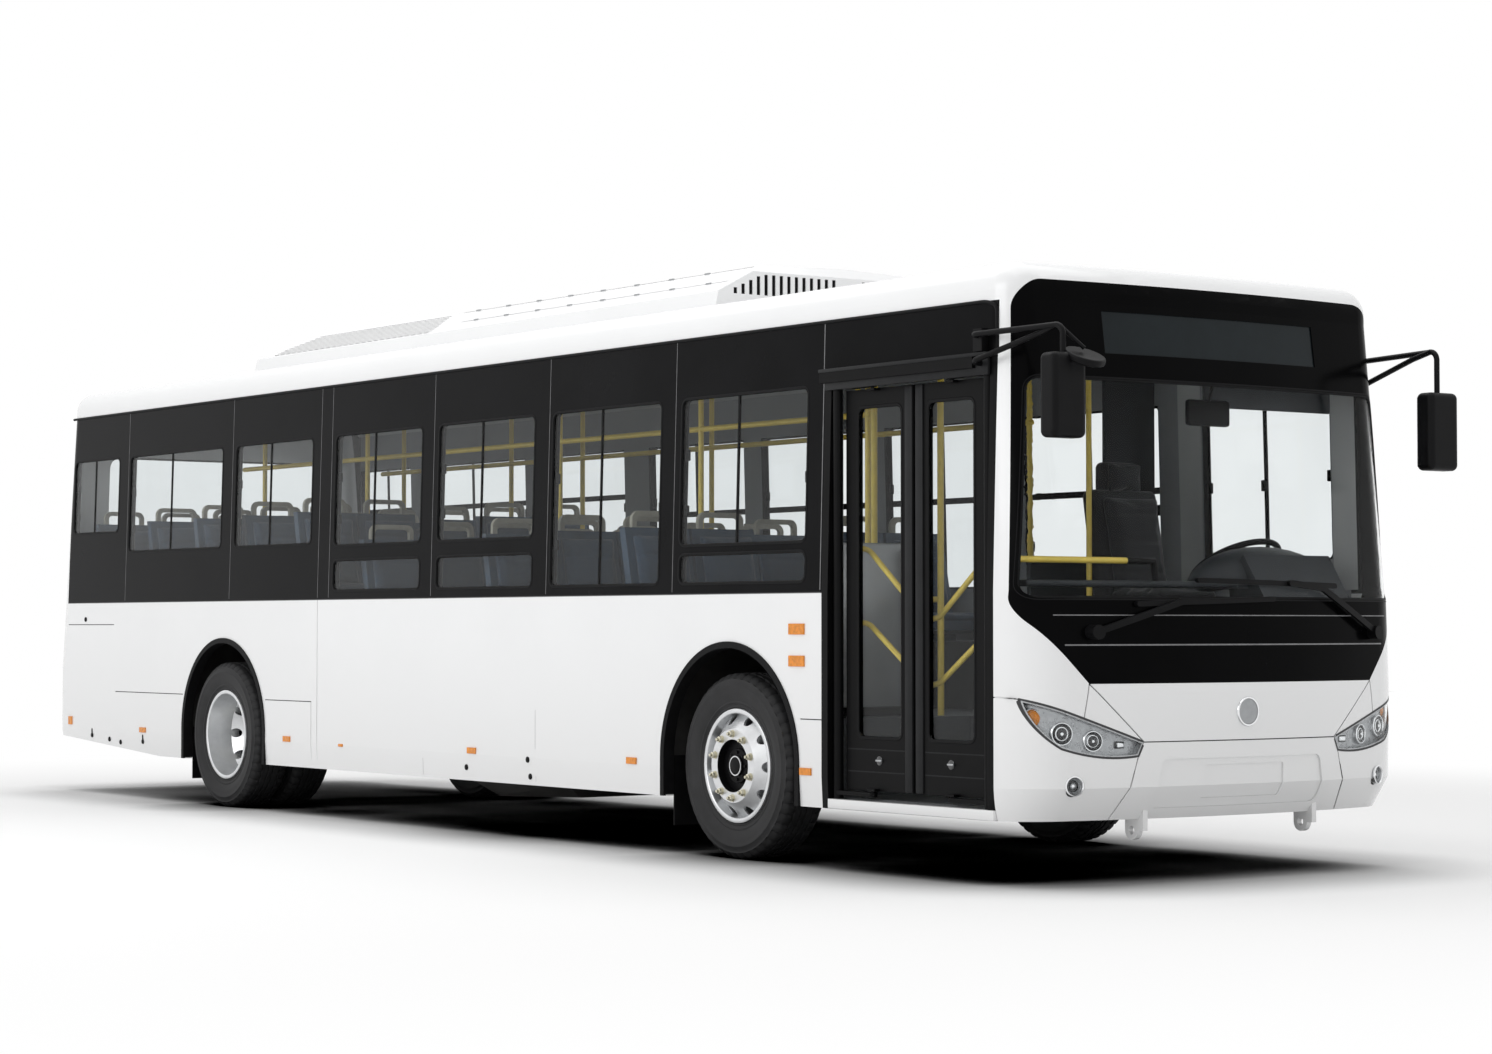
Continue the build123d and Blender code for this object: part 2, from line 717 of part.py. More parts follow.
with BuildPart() as engine_lid:
    add(rear_shell)
    add(from_front(lid_outline.sketch, REAR_SPLIT_X, -500), mode=Mode.INTERSECT)
    for y in LID_HINGE_Y:
        add(rod((LID_HINGE_X, y - 50.7, LID_HINGE_Z), (LID_HINGE_X, y + 50.7, LID_HINGE_Z), LID_KNUCKLE_R))
        add(block(LID_HINGE_X - 13, LID_HINGE_X + 13, y - 50.7, y + 50.7, LID_HINGE_Z - 70, LID_HINGE_Z))
        add(block(LID_HINGE_X - 13, LID_HINGE_X + 45, y - 50.7, y + 50.7, LID_HINGE_Z - 70, LID_HINGE_Z - 20))
        hole = rod((LID_HINGE_X, y - 70, LID_HINGE_Z), (LID_HINGE_X, y + 70, LID_HINGE_Z), LID_PIN_R + 0.3)
        add(hole, mode=Mode.SUBTRACT)
save(engine_lid.part, "engine_lid")

with BuildPart() as rear_bumper:
    add(rear_shell)
    split(bisect_by=Plane.XY.offset(REAR_BUMPER_Z), keep=Keep.BOTTOM)
save(rear_bumper.part, "rear_bumper")

with BuildPart() as tail_lamps:
    add(rear_shell)
    add(tail_lamp_prism, mode=Mode.INTERSECT)
save(tail_lamps.part, "tail_lamps")

# Entrance: surround, then for each leaf the turning post with its arms, the leaf, its pane and its rails
with BuildPart() as door_surround:
    add(shell)
    add(door_prism, mode=Mode.INTERSECT)
    clear = block(DOOR_REAR_X + JAMB, DOOR_FRONT_X - JAMB, -2 * HALF_WIDTH, 0, SILL_Z, DOOR_HEAD_Z - 60)
    add(clear, mode=Mode.SUBTRACT)
    header_y = -HALF_WIDTH - HEADER_PROUD
    add(block(DOOR_REAR_X, MIRROR_ROOT_X - 40, header_y, 40 - HALF_WIDTH, DOOR_HEAD_Z - 60, DOOR_HEAD_Z))
save(door_surround.part, "door_surround")

leaf_y = POST_Y + LEAF_SET_IN
for name, post_x, way in (("front", POST_FRONT_X, -1), ("rear", POST_REAR_X, 1)):
    pivot_x = post_x + way * ARM_LENGTH
    post_edge_x = post_x + way * (POST_R + LEAF_POST_GAP)
    meet_x = DOOR_MID_X - way * LEAF_GAP / 2
    leaf_mid_x = (post_edge_x + meet_x) / 2
    pane_mid_z = (LEAF_GLASS_LOW_Z + LEAF_GLASS_TOP_Z) / 2
    arm_levels = (LEAF_LOW_Z - ARM_CLEAR - ARM_THICK / 2, LEAF_TOP_Z + ARM_CLEAR + ARM_THICK / 2)

    with BuildPart() as door_post:
        add(rod((post_x, POST_Y, SILL_Z + 0.3), (post_x, POST_Y, DOOR_HEAD_Z - 60.3), POST_R))
        for z in arm_levels:
            with BuildSketch(Plane.XY.offset(z - ARM_THICK / 2)):
                with Locations(((post_x + pivot_x) / 2, POST_Y)):
                    SlotCenterToCenter(ARM_LENGTH, ARM_WIDTH)
            extrude(amount=ARM_THICK)
            with Locations((pivot_x, POST_Y, z)):
                Cylinder(PIVOT_R + 0.3, 2 * ARM_THICK, mode=Mode.SUBTRACT)
    save(door_post.part, f"door_post_{name}")

    with BuildPart() as door_leaf:
        with Locations((leaf_mid_x, leaf_y, (LEAF_LOW_Z + LEAF_TOP_Z) / 2)):
            Box(LEAF_WIDTH, LEAF_THICK, LEAF_TOP_Z - LEAF_LOW_Z)
        with BuildSketch(Plane.XZ.offset(-leaf_y)):
            with Locations((leaf_mid_x, pane_mid_z)):
                RectangleRounded(LEAF_WIDTH - 2 * LEAF_STILE, LEAF_GLASS_TOP_Z - LEAF_GLASS_LOW_Z, 40)
        extrude(amount=LEAF_THICK, both=True, mode=Mode.SUBTRACT)
        for z, way_up in ((LEAF_LOW_Z + 6, -1), (LEAF_TOP_Z - 6, 1)):
            with Locations((pivot_x, (POST_Y + leaf_y) / 2, z)):
                Box(60, LEAF_SET_IN + 30, 12)
            with Locations((pivot_x, POST_Y, z + way_up * (ARM_CLEAR + ARM_THICK / 2))):
                Cylinder(PIVOT_R, ARM_THICK + 2 * ARM_CLEAR)
    save(door_leaf.part, f"door_leaf_{name}")

    with BuildPart() as door_glass:
        with BuildSketch(Plane.XZ.offset(-leaf_y)):
            with Locations((leaf_mid_x, pane_mid_z)):
                RectangleRounded(LEAF_WIDTH - 2 * LEAF_STILE, LEAF_GLASS_TOP_Z - LEAF_GLASS_LOW_Z, 40)
        extrude(amount=GLASS / 2, both=True)
    save(door_glass.part, f"door_glass_{name}")

    high_x = post_edge_x + way * LEAF_STILE / 2
    low_x = meet_x - way * LEAF_STILE / 2
    face_y = leaf_y + LEAF_THICK / 2
    with BuildPart() as door_rails:
        for z_high, z_low in DOOR_RAILS:
            points = (
                (high_x, face_y, z_high),
                (high_x, face_y + RAIL_STAND_OFF, z_high),
                (low_x, face_y + RAIL_STAND_OFF, z_low),
                (low_x, face_y, z_low),
            )
            add(tube(points, RAIL_R, 35))
    save(door_rails.part, f"door_rails_{name}")

# Wheels, drawn about the Y axis with their outer face towards plus Y
def ring(points):
    """A turned solid from half-section points given as radius and width."""
    with BuildPart() as turned:
        with BuildSketch():
            with BuildLine():
                Polyline(*points, close=True)
            make_face()
        revolve(axis=Axis.Y)
    return turned.part


half = TYRE_WIDTH / 2
tyre = ring(
    (
        (BEAD_R, -RIM_HALF),
        (FLANGE_R, -RIM_HALF),
        (390, -half),
        (455, -half + 9),
        (TYRE_R, -half + 38),
        (TYRE_R, half - 38),
        (455, half - 9),
        (390, half),
        (FLANGE_R, RIM_HALF),
        (BEAD_R, RIM_HALF),
    )
)
barrel = ring(
    (
        (BEAD_R - RIM_WALL, -RIM_HALF - RIM_WALL),
        (FLANGE_R, -RIM_HALF - RIM_WALL),
        (FLANGE_R, -RIM_HALF),
        (BEAD_R, -RIM_HALF),
        (BEAD_R, RIM_HALF),
        (FLANGE_R, RIM_HALF),
        (FLANGE_R, RIM_HALF + RIM_WALL),
        (BEAD_R - RIM_WALL, RIM_HALF + RIM_WALL),
    )
)


def wheel_disc(face):
    """A dished disc with hand holes; the face is its mounting plane, outwards from the rim's middle."""
    step = DISC_THICK if face > 0 else -DISC_THICK
    with BuildPart() as disc:
        add(
            ring(
                (
                    (HUB_BORE_R, face - step),
                    (HUB_FLANGE_R + 18, face - step),
                    (BEAD_R - RIM_WALL, face * 0.45 - step),
                    (BEAD_R - RIM_WALL, face * 0.45),
                    (HUB_FLANGE_R + 20, face),
                    (HUB_BORE_R, face),
                )
            )
        )
        with Locations(Plane.XZ):
            with PolarLocations(HAND_HOLE_PCD / 2, HAND_HOLES):
                Cylinder(HAND_HOLE_R, 1000, mode=Mode.SUBTRACT)
    return disc.part


with BuildPart() as front_rim:
    add(barrel)
    add(wheel_disc(DISC_FACE))
    add(rod((0, -90, 0), (0, 40, 0), DRUM_R))
    add(rod((0, 0, 0), (0, DISC_FACE - DISC_THICK, 0), HUB_FLANGE_R))
    add(rod((0, HUB_FACE, 0), (0, DISC_FACE, 0), HUB_BORE_R), mode=Mode.SUBTRACT)
    add(rod((0, HUB_FACE, 0), (0, HUB_FACE + 12, 0), HUB_R - 20))
    add(rod((0, HUB_FACE, 0), (0, DISC_FACE - 15, 0), HUB_CAP_R))
    add(rod((0, -200, 0), (0, SPINDLE_END, 0), SPINDLE_R + 0.3), mode=Mode.SUBTRACT)

with BuildPart() as rear_rims:
    add(barrel)
    add(Pos(0, -TWIN_PITCH, 0) * barrel)
    add(wheel_disc(-TWIN_PITCH / 2))
    add(Pos(0, -TWIN_PITCH, 0) * wheel_disc(TWIN_PITCH / 2))
    add(rod((0, -TWIN_PITCH - 60, 0), (0, -TWIN_PITCH / 2, 0), DRUM_R))
    add(rod((0, -TWIN_PITCH, 0), (0, REAR_HUB_END, 0), HUB_R))
    add(rod((0, -500, 0), (0, -TWIN_PITCH / 2 + REAR_SPINDLE_END, 0), SPINDLE_R + 0.3), mode=Mode.SUBTRACT)

with BuildPart() as twin_tyres:
    add(tyre)
    add(Pos(0, -TWIN_PITCH, 0) * tyre)

for name, turn, side in (("right", 180, -1), ("left", 0, 1)):
    front_place = Pos(FRONT_AXLE_X, side * FRONT_TRACK_Y, AXLE_Z) * Rot(0, 0, turn)
    rear_place = Pos(REAR_AXLE_X, side * TWIN_OUTER_Y, AXLE_Z) * Rot(0, 0, turn)
    save(front_place * tyre, f"front_tyre_{name}")
    save(front_place * front_rim.part, f"front_rim_{name}")
    save(rear_place * twin_tyres.part, f"rear_tyres_{name}")
    save(rear_place * rear_rims.part, f"rear_rims_{name}")

# Axles and steering
with BuildPart() as front_axle:
    add(block(FRONT_AXLE_X - 50, FRONT_AXLE_X + 50, -BEAM_END_Y, BEAM_END_Y, BEAM_Z, BEAM_Z + 70))
    for side in (-1, 1):
        y = side * KINGPIN_Y
        y0, y1 = sorted((side * UPRIGHT_Y, y))
        add(block(FRONT_AXLE_X - 45, FRONT_AXLE_X + 45, y0, y1, BEAM_Z, FIST_Z + FIST_HALF))
        add(rod((FRONT_AXLE_X, y, FIST_Z - FIST_HALF), (FRONT_AXLE_X, y, FIST_Z + FIST_HALF), 50))
        below = block(FRONT_AXLE_X - 80, FRONT_AXLE_X + 80, y - 125, y + 125, 0, FIST_Z - FIST_HALF)
        add(below, mode=Mode.SUBTRACT)
        add(rod((FRONT_AXLE_X, y, FORK_LOW_Z), (FRONT_AXLE_X, y, FORK_TOP_Z), KINGPIN_R))
        spring_y = side * RAIL_Y
        add(rod((FRONT_AXLE_X, spring_y, BEAM_Z + 70), (FRONT_AXLE_X, spring_y, RAIL_LOW_Z), SPRING_R))
save(front_axle.part, "front_axle")

with BuildPart() as rear_axle:
    add(rod((REAR_AXLE_X, -690, AXLE_Z), (REAR_AXLE_X, 690, AXLE_Z), 75))
    spindle_reach = TWIN_OUTER_Y - TWIN_PITCH / 2 + REAR_SPINDLE_END - 10
    add(rod((REAR_AXLE_X, -spindle_reach, AXLE_Z), (REAR_AXLE_X, spindle_reach, AXLE_Z), SPINDLE_R))
    with Locations((REAR_AXLE_X, 0, AXLE_Z)):
        Cylinder(190, 230, rotation=(90, 0, 0))
    for side in (-1, 1):
        add(rod((REAR_AXLE_X, side * RAIL_Y, AXLE_Z), (REAR_AXLE_X, side * RAIL_Y, RAIL_LOW_Z), SPRING_R))
save(rear_axle.part, "rear_axle")

for name, side in (("right", -1), ("left", 1)):
    y = side * KINGPIN_Y
    web_y = side * (KINGPIN_Y + 70)
    web_low, web_high = sorted((web_y, web_y + side * 18))
    spindle_y = side * (FRONT_TRACK_Y + SPINDLE_END - 10)
    eye_x = FRONT_AXLE_X - STEER_ARM
    with BuildPart() as knuckle:
        for z0, z1 in ((FORK_LOW_Z, FORK_LOW_Z + 32), (FORK_TOP_Z - 32, FORK_TOP_Z)):
            add(rod((FRONT_AXLE_X, y, z0), (FRONT_AXLE_X, y, z1), 48))
            add(block(FRONT_AXLE_X - 48, FRONT_AXLE_X + 48, min(y, web_y), max(y, web_y), z0, z1))
        add(block(FRONT_AXLE_X - 60, FRONT_AXLE_X + 60, web_low, web_high, FORK_LOW_Z, FORK_TOP_Z))
        add(rod((FRONT_AXLE_X, web_y, AXLE_Z), (FRONT_AXLE_X, spindle_y, AXLE_Z), SPINDLE_R))
        arm_y = side * TIE_ROD_Y
        with BuildSketch(Plane.XY.offset(FORK_LOW_Z)):
            with BuildLine():
                Polyline(
                    (FRONT_AXLE_X, y + 25),
                    (FRONT_AXLE_X, y - 25),
                    (eye_x, arm_y - 18),
                    (eye_x, arm_y + 18),
                    close=True,
                )
            make_face()
            with Locations((eye_x, arm_y)):
                Circle(22)
        extrude(amount=24)
        add(rod((eye_x, arm_y, FORK_LOW_Z - 45), (eye_x, arm_y, FORK_LOW_Z + 5), 8))
        pin_hole = rod((FRONT_AXLE_X, y, FORK_LOW_Z - 5), (FRONT_AXLE_X, y, FORK_TOP_Z + 5), KINGPIN_R + 0.3)
        add(pin_hole, mode=Mode.SUBTRACT)
    save(knuckle.part, f"knuckle_{name}")

with BuildPart() as tie_rod:
    rod_x = FRONT_AXLE_X - STEER_ARM
    rod_z = FORK_LOW_Z - 25
    add(rod((rod_x, -TIE_ROD_Y, rod_z), (rod_x, TIE_ROD_Y, rod_z), 14))
    for y in (-TIE_ROD_Y, TIE_ROD_Y):
        add(rod((rod_x, y, rod_z - 18), (rod_x, y, rod_z + 18), 22))
        add(rod((rod_x, y, rod_z - 30), (rod_x, y, rod_z + 30), 8.3), mode=Mode.SUBTRACT)
save(tie_rod.part, "tie_rod")

# Frame, floor and what hangs under it
with BuildPart() as chassis_frame:
    for side in (-1, 1):
        y = side * RAIL_Y
        add(block(RAIL_REAR_X, RAIL_FRONT_X, y - 40, y + 40, RAIL_LOW_Z, FLOOR_Z - FLOOR_THICK))
    for x in CROSS_MEMBERS_X:
        add(block(x - 40, x + 40, -RAIL_Y, RAIL_Y, RAIL_LOW_Z, RAIL_LOW_Z + 50))
save(chassis_frame.part, "chassis_frame")

with BuildPart() as engine_block:
    add(block(-5420, -4640, -370, 370, RAIL_LOW_Z + 50, 1040))
save(engine_block.part, "engine_block")

wall_y = HALF_WIDTH - WALL
housings = (
    (FRONT_AXLE_X, FRONT_HOUSING_Y),
    (REAR_AXLE_X, REAR_HOUSING_Y),
)
with BuildPart() as floor:
    with BuildSketch(Plane.XZ):
        with BuildLine():
            Polyline(
                (FLOOR_FRONT_X, FLOOR_Z),
                (PODIUM_FRONT_X, FLOOR_Z),
                (PODIUM_FRONT_X, PODIUM_Z),
                (BENCH_FRONT_X, PODIUM_Z),
                (BENCH_FRONT_X, BENCH_Z),
                (REAR_SPLIT_X, BENCH_Z),
                (REAR_SPLIT_X, BENCH_Z - FLOOR_THICK),
                (BENCH_FRONT_X - FLOOR_THICK, BENCH_Z - FLOOR_THICK),
                (BENCH_FRONT_X - FLOOR_THICK, PODIUM_Z - FLOOR_THICK),
                (PODIUM_FRONT_X - FLOOR_THICK, PODIUM_Z - FLOOR_THICK),
                (PODIUM_FRONT_X - FLOOR_THICK, FLOOR_Z - FLOOR_THICK),
                (FLOOR_FRONT_X, FLOOR_Z - FLOOR_THICK),
                close=True,
            )
        make_face()
    extrude(amount=wall_y, both=True)
    add(block(DRIVER_REAR_X, FLOOR_FRONT_X, 250, wall_y, FLOOR_Z, DRIVER_Z))
    well = block(DOOR_REAR_X, FLOOR_FRONT_X, -wall_y, STEP_EDGES_Y[1], FLOOR_Z - FLOOR_THICK, FLOOR_Z)
    add(well, mode=Mode.SUBTRACT)
    for axle_x, housing_y in housings:
        for side in (-1, 1):
            y0, y1 = sorted((side * housing_y, side * wall_y))
            half_length = ARCH_R + HOUSING_WALL + 10
            add(block(axle_x - half_length, axle_x + half_length, y0, y1, 0, HOUSING_Z), mode=Mode.SUBTRACT)
save(floor.part, "floor")

with BuildPart() as wheel_housings:
    for axle_x, housing_y in housings:
        for side in (-1, 1):
            y0, y1 = sorted((side * housing_y, side * wall_y))
            half_length = ARCH_R + HOUSING_WALL + 10
            add(block(axle_x - half_length, axle_x + half_length, y0, y1, HOUSING_LOW_Z, HOUSING_Z))
    for axle_x, housing_y in housings:
        for side in (-1, 1):
            y0, y1 = sorted((side * (housing_y + HOUSING_WALL), side * (wall_y + 10)))
            half_length = ARCH_R + 10
            hollow = block(axle_x - half_length, axle_x + half_length, y0, y1, 0, HOUSING_Z - HOUSING_WALL)
            add(hollow, mode=Mode.SUBTRACT)
    add(block(REAR_AXLE_X - 130, REAR_AXLE_X + 130, -700, 700, 0, RAIL_LOW_Z + 30), mode=Mode.SUBTRACT)
save(wheel_housings.part, "wheel_housings")

with BuildPart() as entrance_steps:
    low_edge, high_edge = STEP_EDGES_Y
    step_y = 30 - wall_y
    step_front_x = DOOR_FRONT_X - 25
    with BuildSketch(Plane.YZ.offset(DOOR_REAR_X)):
        with BuildLine():
            Polyline(
                (step_y, STEP_Z),
                (low_edge, STEP_Z),
                (low_edge, STEP_Z + STEP_RISE),
                (high_edge, STEP_Z + STEP_RISE),
                (high_edge, FLOOR_Z - FLOOR_THICK),
                (high_edge + 40, FLOOR_Z - FLOOR_THICK),
                (high_edge + 40, STEP_Z + STEP_RISE - 40),
                (low_edge + 40, STEP_Z + STEP_RISE - 40),
                (low_edge + 40, STEP_Z - 40),
                (step_y, STEP_Z - 40),
                close=True,
            )
        make_face()
    extrude(amount=step_front_x - DOOR_REAR_X)
    for x in (DOOR_REAR_X, step_front_x - 20):
        add(block(x, x + 20, step_y, high_edge, STEP_Z - 40, FLOOR_Z))
save(entrance_steps.part, "entrance_steps")

with BuildPart() as mud_flaps:
    for axle_x, low_z in ((FRONT_AXLE_X, 145), (REAR_AXLE_X, 165)):
        for side in (-1, 1):
            y0, y1 = sorted((side * 900, side * 1185))
            flap_x = axle_x - ARCH_R - 10
            add(block(flap_x, flap_x + 8, y0, y1, low_z, 520))
save(mud_flaps.part, "mud_flaps")

with BuildPart() as arch_trims:
    for axle_x in (FRONT_AXLE_X, REAR_AXLE_X):
        for side in (-1, 1):
            with BuildSketch(Plane.XZ.offset(-side * (HALF_WIDTH - 12))):
                with Locations((axle_x, ARCH_Z)):
                    Circle(ARCH_R + ARCH_LIP)
                    Rectangle(2 * (ARCH_R + ARCH_LIP), ARCH_Z - SKIRT_Z, align=(Align.CENTER, Align.MAX))
                    Circle(ARCH_R, mode=Mode.SUBTRACT)
                    Rectangle(2 * ARCH_R, ARCH_Z, align=(Align.CENTER, Align.MAX), mode=Mode.SUBTRACT)
                with Locations((axle_x, SKIRT_Z)):
                    Rectangle(4 * ARCH_R, ARCH_R, align=(Align.CENTER, Align.MAX), mode=Mode.SUBTRACT)
            extrude(amount=-side * (ARCH_LIP_PROUD + 12))
    add(outer, mode=Mode.SUBTRACT)
save(arch_trims.part, "arch_trims")

# Roof air conditioner
with BuildPart() as roof_unit:
    with BuildSketch(Plane.YZ.offset(UNIT_REAR_X)):
        with BuildLine():
            Polyline(*both_sides(UNIT_SECTION), close=True)
        make_face()
    extrude(amount=UNIT_FRONT_X - UNIT_REAR_X)
    with BuildSketch(Plane.XZ):
        with BuildLine():
            Polyline(
                (UNIT_REAR_X, ROOF_Z),
                (UNIT_REAR_X, UNIT_SHOULDER_Z),
                (UNIT_REAR_X + UNIT_TAIL_SLOPE, UNIT_TOP_Z),
                (UNIT_FRONT_X - 60, UNIT_TOP_Z),
                (UNIT_FRONT_X, UNIT_TOP_Z - 60),
                (UNIT_FRONT_X, ROOF_Z),
                close=True,
            )
        make_face()
    extrude(amount=HALF_WIDTH, both=True, mode=Mode.INTERSECT)
    for side in (-1, 1):
        for i in range(UNIT_SLOTS):
            y = side * (UNIT_SLOT_START + i * UNIT_SLOT_PITCH)
            top = min(UNIT_SLOT_TOP, UNIT_SLOT_ARCH - UNIT_SLOT_FALL * abs(y))
            slot = block(UNIT_FRONT_X - 45, UNIT_FRONT_X + 5, y - 12, y + 12, UNIT_SLOT_LOW, top)
            add(slot, mode=Mode.SUBTRACT)
save(roof_unit.part, "roof_unit")

# Mirrors on bent arms
for name, side, head_z in (("right", -1, 2265), ("left", 1, 2185)):
    bend_y = side * (HALF_WIDTH + 60)
    head_y = side * MIRROR_Y
    with BuildPart() as head:
        with Locations((MIRROR_X, head_y, head_z)):
            Box(MIRROR_DEPTH, MIRROR_WIDTH, MIRROR_HEIGHT)
        fillet(head.edges(), 30)
    with BuildPart() as kerb:
        with Locations(Location((KERB_X, head_y + 90, 2440), (0, 25, 0))):
            Cylinder(KERB_R, 36)
        fillet(kerb.edges(), 12)
    with BuildPart() as mirror_arm:
        add(
            tube(
                (
                    (MIRROR_ROOT_X, side * 1218.8, 2580),
                    (MIRROR_ROOT_X, bend_y, 2580),
                    (MIRROR_X, head_y, 2590),
                    (MIRROR_X, head_y, head_z),
                ),
                MIRROR_TUBE_R,
                45,
            )
        )
        add(
            tube(
                (
                    (MIRROR_ROOT_X, side * 1222.3, 2450),
                    (MIRROR_ROOT_X, bend_y, 2450),
                    (MIRROR_X - 160, head_y, 2560),
                    (MIRROR_X - 40, head_y, 2590),
                ),
                MIRROR_TUBE_R,
                45,
            )
        )
        y0, y1 = sorted((side * 1222, side * 1264))
        add(block(MIRROR_ROOT_X - 32, MIRROR_ROOT_X + 32, y0, y1, 2505, 2612))
        add(head.part)
        if side < 0:
            add(rod((MIRROR_X - 30, head_y, 2590), (KERB_X, head_y + 90, 2480), MIRROR_TUBE_R - 4))
            add(kerb.part)
    save(mirror_arm.part, f"mirror_{name}")

# Marker lamps and indicators on the flanks
with BuildPart() as side_markers:
    for side in (-1, 1):
        for x, z, length, height in MARKERS:
            y0, y1 = sorted((side * HALF_WIDTH, side * (HALF_WIDTH + MARKER_PROUD)))
            add(block(x - length / 2, x + length / 2, y0, y1, z - height / 2, z + height / 2))
save(side_markers.part, "side_markers")

# Wipers at rest, laid to the bow of the screen
blade_layer = envelope(-BLADE_PROUD) - envelope(0)
arm_layer = envelope(-ARM_PROUD) - envelope(-BLADE_PROUD)

pivot_layer = envelope(-ARM_PROUD - 12) - outer
with BuildSketch() as pivot_outline:
    with Locations(*WIPER_PIVOTS):
        Circle(WIPER_PIVOT_R)

with BuildPart() as blades:
    add(blade_layer)
    add(strips(WIPER_BLADES, BLADE_WIDTH), mode=Mode.INTERSECT)

with BuildPart() as arms:
    add(arm_layer)
    add(strips(WIPER_ARMS, WIPER_ARM_WIDTH), mode=Mode.INTERSECT)

with BuildPart() as pivots:
    add(pivot_layer)
    add(from_front(pivot_outline.sketch), mode=Mode.INTERSECT)

with BuildPart() as wipers:
    add(blades.part)
    add(arms.part)
    add(pivots.part)
save(wipers.part, "wipers")

# Inside
with BuildPart() as dashboard:
    with BuildSketch(Plane.XZ.offset(-DASH_LEFT_Y)):
        with BuildLine():
            Polyline(
                (DASH_REAR_X, DRIVER_Z),
                (DASH_REAR_X, DASH_Z - 120),
                (DASH_REAR_X + 90, DASH_Z),
                (FRONT_FACE_X, DASH_Z + 20),
                (FRONT_FACE_X, DRIVER_Z),
                close=True,
            )
        make_face()
    extrude(amount=DASH_LEFT_Y - DASH_RIGHT_Y)
    with BuildSketch(Plane.XZ.offset(-DRIVER_Y - 300)):
        with BuildLine():
            Polyline(
                (DASH_REAR_X + 40, DASH_Z - 60),
                (DASH_REAR_X + 10, COWL_Z - 110),
                (DASH_REAR_X + 120, COWL_Z),
                (DASH_REAR_X + 290, DASH_Z + 10),
                (DASH_REAR_X + 290, DASH_Z - 60),
                close=True,
            )
        make_face()
    extrude(amount=600)
    add(inner, mode=Mode.INTERSECT)
save(dashboard.part, "dashboard")

wheel_tilt = Plane(origin=(STEER_WHEEL_X, DRIVER_Y, STEER_WHEEL_Z), x_dir=(0, 1, 0), z_dir=(0.5, 0, -0.866))
with BuildPart() as steering_wheel:
    with Locations(wheel_tilt):
        Torus(STEER_WHEEL_R, 16)
        Cylinder(55, 40)
        for angle in (0, 120, 240):
            with Locations(Location((0, 0, 0), (0, 0, angle))):
                Box(STEER_WHEEL_R, 34, 14, align=(Align.MIN, Align.CENTER, Align.CENTER))
    column_end = (STEER_WHEEL_X + 0.5 * COLUMN, DRIVER_Y, STEER_WHEEL_Z - 0.866 * COLUMN)
    add(rod((STEER_WHEEL_X, DRIVER_Y, STEER_WHEEL_Z), column_end, 34))
    add(dashboard.part, mode=Mode.SUBTRACT)
save(steering_wheel.part, "steering_wheel")

x = DRIVER_SEAT_X
with BuildPart() as squab:
    add(block(x - 20, x + 500, DRIVER_Y - 250, DRIVER_Y + 250, DRIVER_Z + 330, DRIVER_Z + 450))
    fillet(squab.edges(), 40)

with BuildPart() as back:
    with BuildSketch(Plane.XZ.offset(-DRIVER_Y - 235)):
        with BuildLine():
            Polyline(
                (x - 20, DRIVER_Z + 400),
                (x - 120, DRIVER_Z + 1040),
                (x - 10, DRIVER_Z + 1040),
                (x + 110, DRIVER_Z + 400),
                close=True,
            )
        make_face()
    extrude(amount=470)
    fillet(back.edges(), 40)

with BuildPart() as headrest:
    add(block(x - 125, x - 35, DRIVER_Y - 130, DRIVER_Y + 130, DRIVER_Z + 1010, DRIVER_Z + 1190))
    fillet(headrest.edges(), 35)

with BuildPart() as driver_seat:
    add(block(x + 60, x + 400, DRIVER_Y - 170, DRIVER_Y + 170, DRIVER_Z, DRIVER_Z + 330))
    add(squab.part)
    add(back.part)
    add(headrest.part)
save(driver_seat.part, "driver_seat")


def seat_side(outline, x, y, floor_z):
    """A plain moulding of one seat, drawn from the side."""
    with BuildPart() as moulding:
        with BuildSketch(Plane.XZ.offset(-y - SEAT_WIDTH / 2)):
            with BuildLine():
                Polyline(*[(x + dx, floor_z + dz) for dx, dz in outline], close=True)
            make_face()
        extrude(amount=SEAT_WIDTH)
    return moulding.part


def seat_row(x, floor_z, foot_z, places, leg_y):
    """One row: backs and squabs side by side on a beam that stands on a leg."""
    beam_x = (x + SEAT_BEAM[0], x + SEAT_BEAM[1])
    leg_top = floor_z + SEAT_BEAM_LOW - SEAT_JOINT
    pieces = [seat_side(BACK_OUTLINE, x, y, floor_z) for y in places]
    pieces += [seat_side(SQUAB_OUTLINE, x + SEAT_JOINT, y, floor_z) for y in places]
    beam_z = (floor_z + SEAT_BEAM_LOW, floor_z + SEAT_BEAM_TOP)
    pieces.append(block(*beam_x, min(places) - 100, max(places) + 100, *beam_z))
    pieces.append(block(*beam_x, leg_y - SEAT_LEG_HALF, leg_y + SEAT_LEG_HALF, foot_z, leg_top))
    return pieces


with BuildPart() as passenger_seats:
    for row in SEAT_ROWS:
        add(seat_row(*row))
save(passenger_seats.part, "passenger_seats")


def seat_handle(x, y, base_z):
    """A flat bow on top of one seat back."""
    gap_width = HANDLE_WIDTH - 2 * HANDLE_BAND
    gap_rise = HANDLE_RISE - HANDLE_BAND
    with BuildPart() as bow:
        with BuildSketch(Plane.YZ.offset(x - HANDLE_THICK / 2)):
            with Locations((y, base_z)):
                RectangleRounded(HANDLE_WIDTH, 2 * HANDLE_RISE, 50)
                RectangleRounded(gap_width, 2 * gap_rise, 25, mode=Mode.SUBTRACT)
                Rectangle(HANDLE_WIDTH, HANDLE_RISE, align=(Align.CENTER, Align.MAX), mode=Mode.SUBTRACT)
        extrude(amount=HANDLE_THICK)
    return bow.part


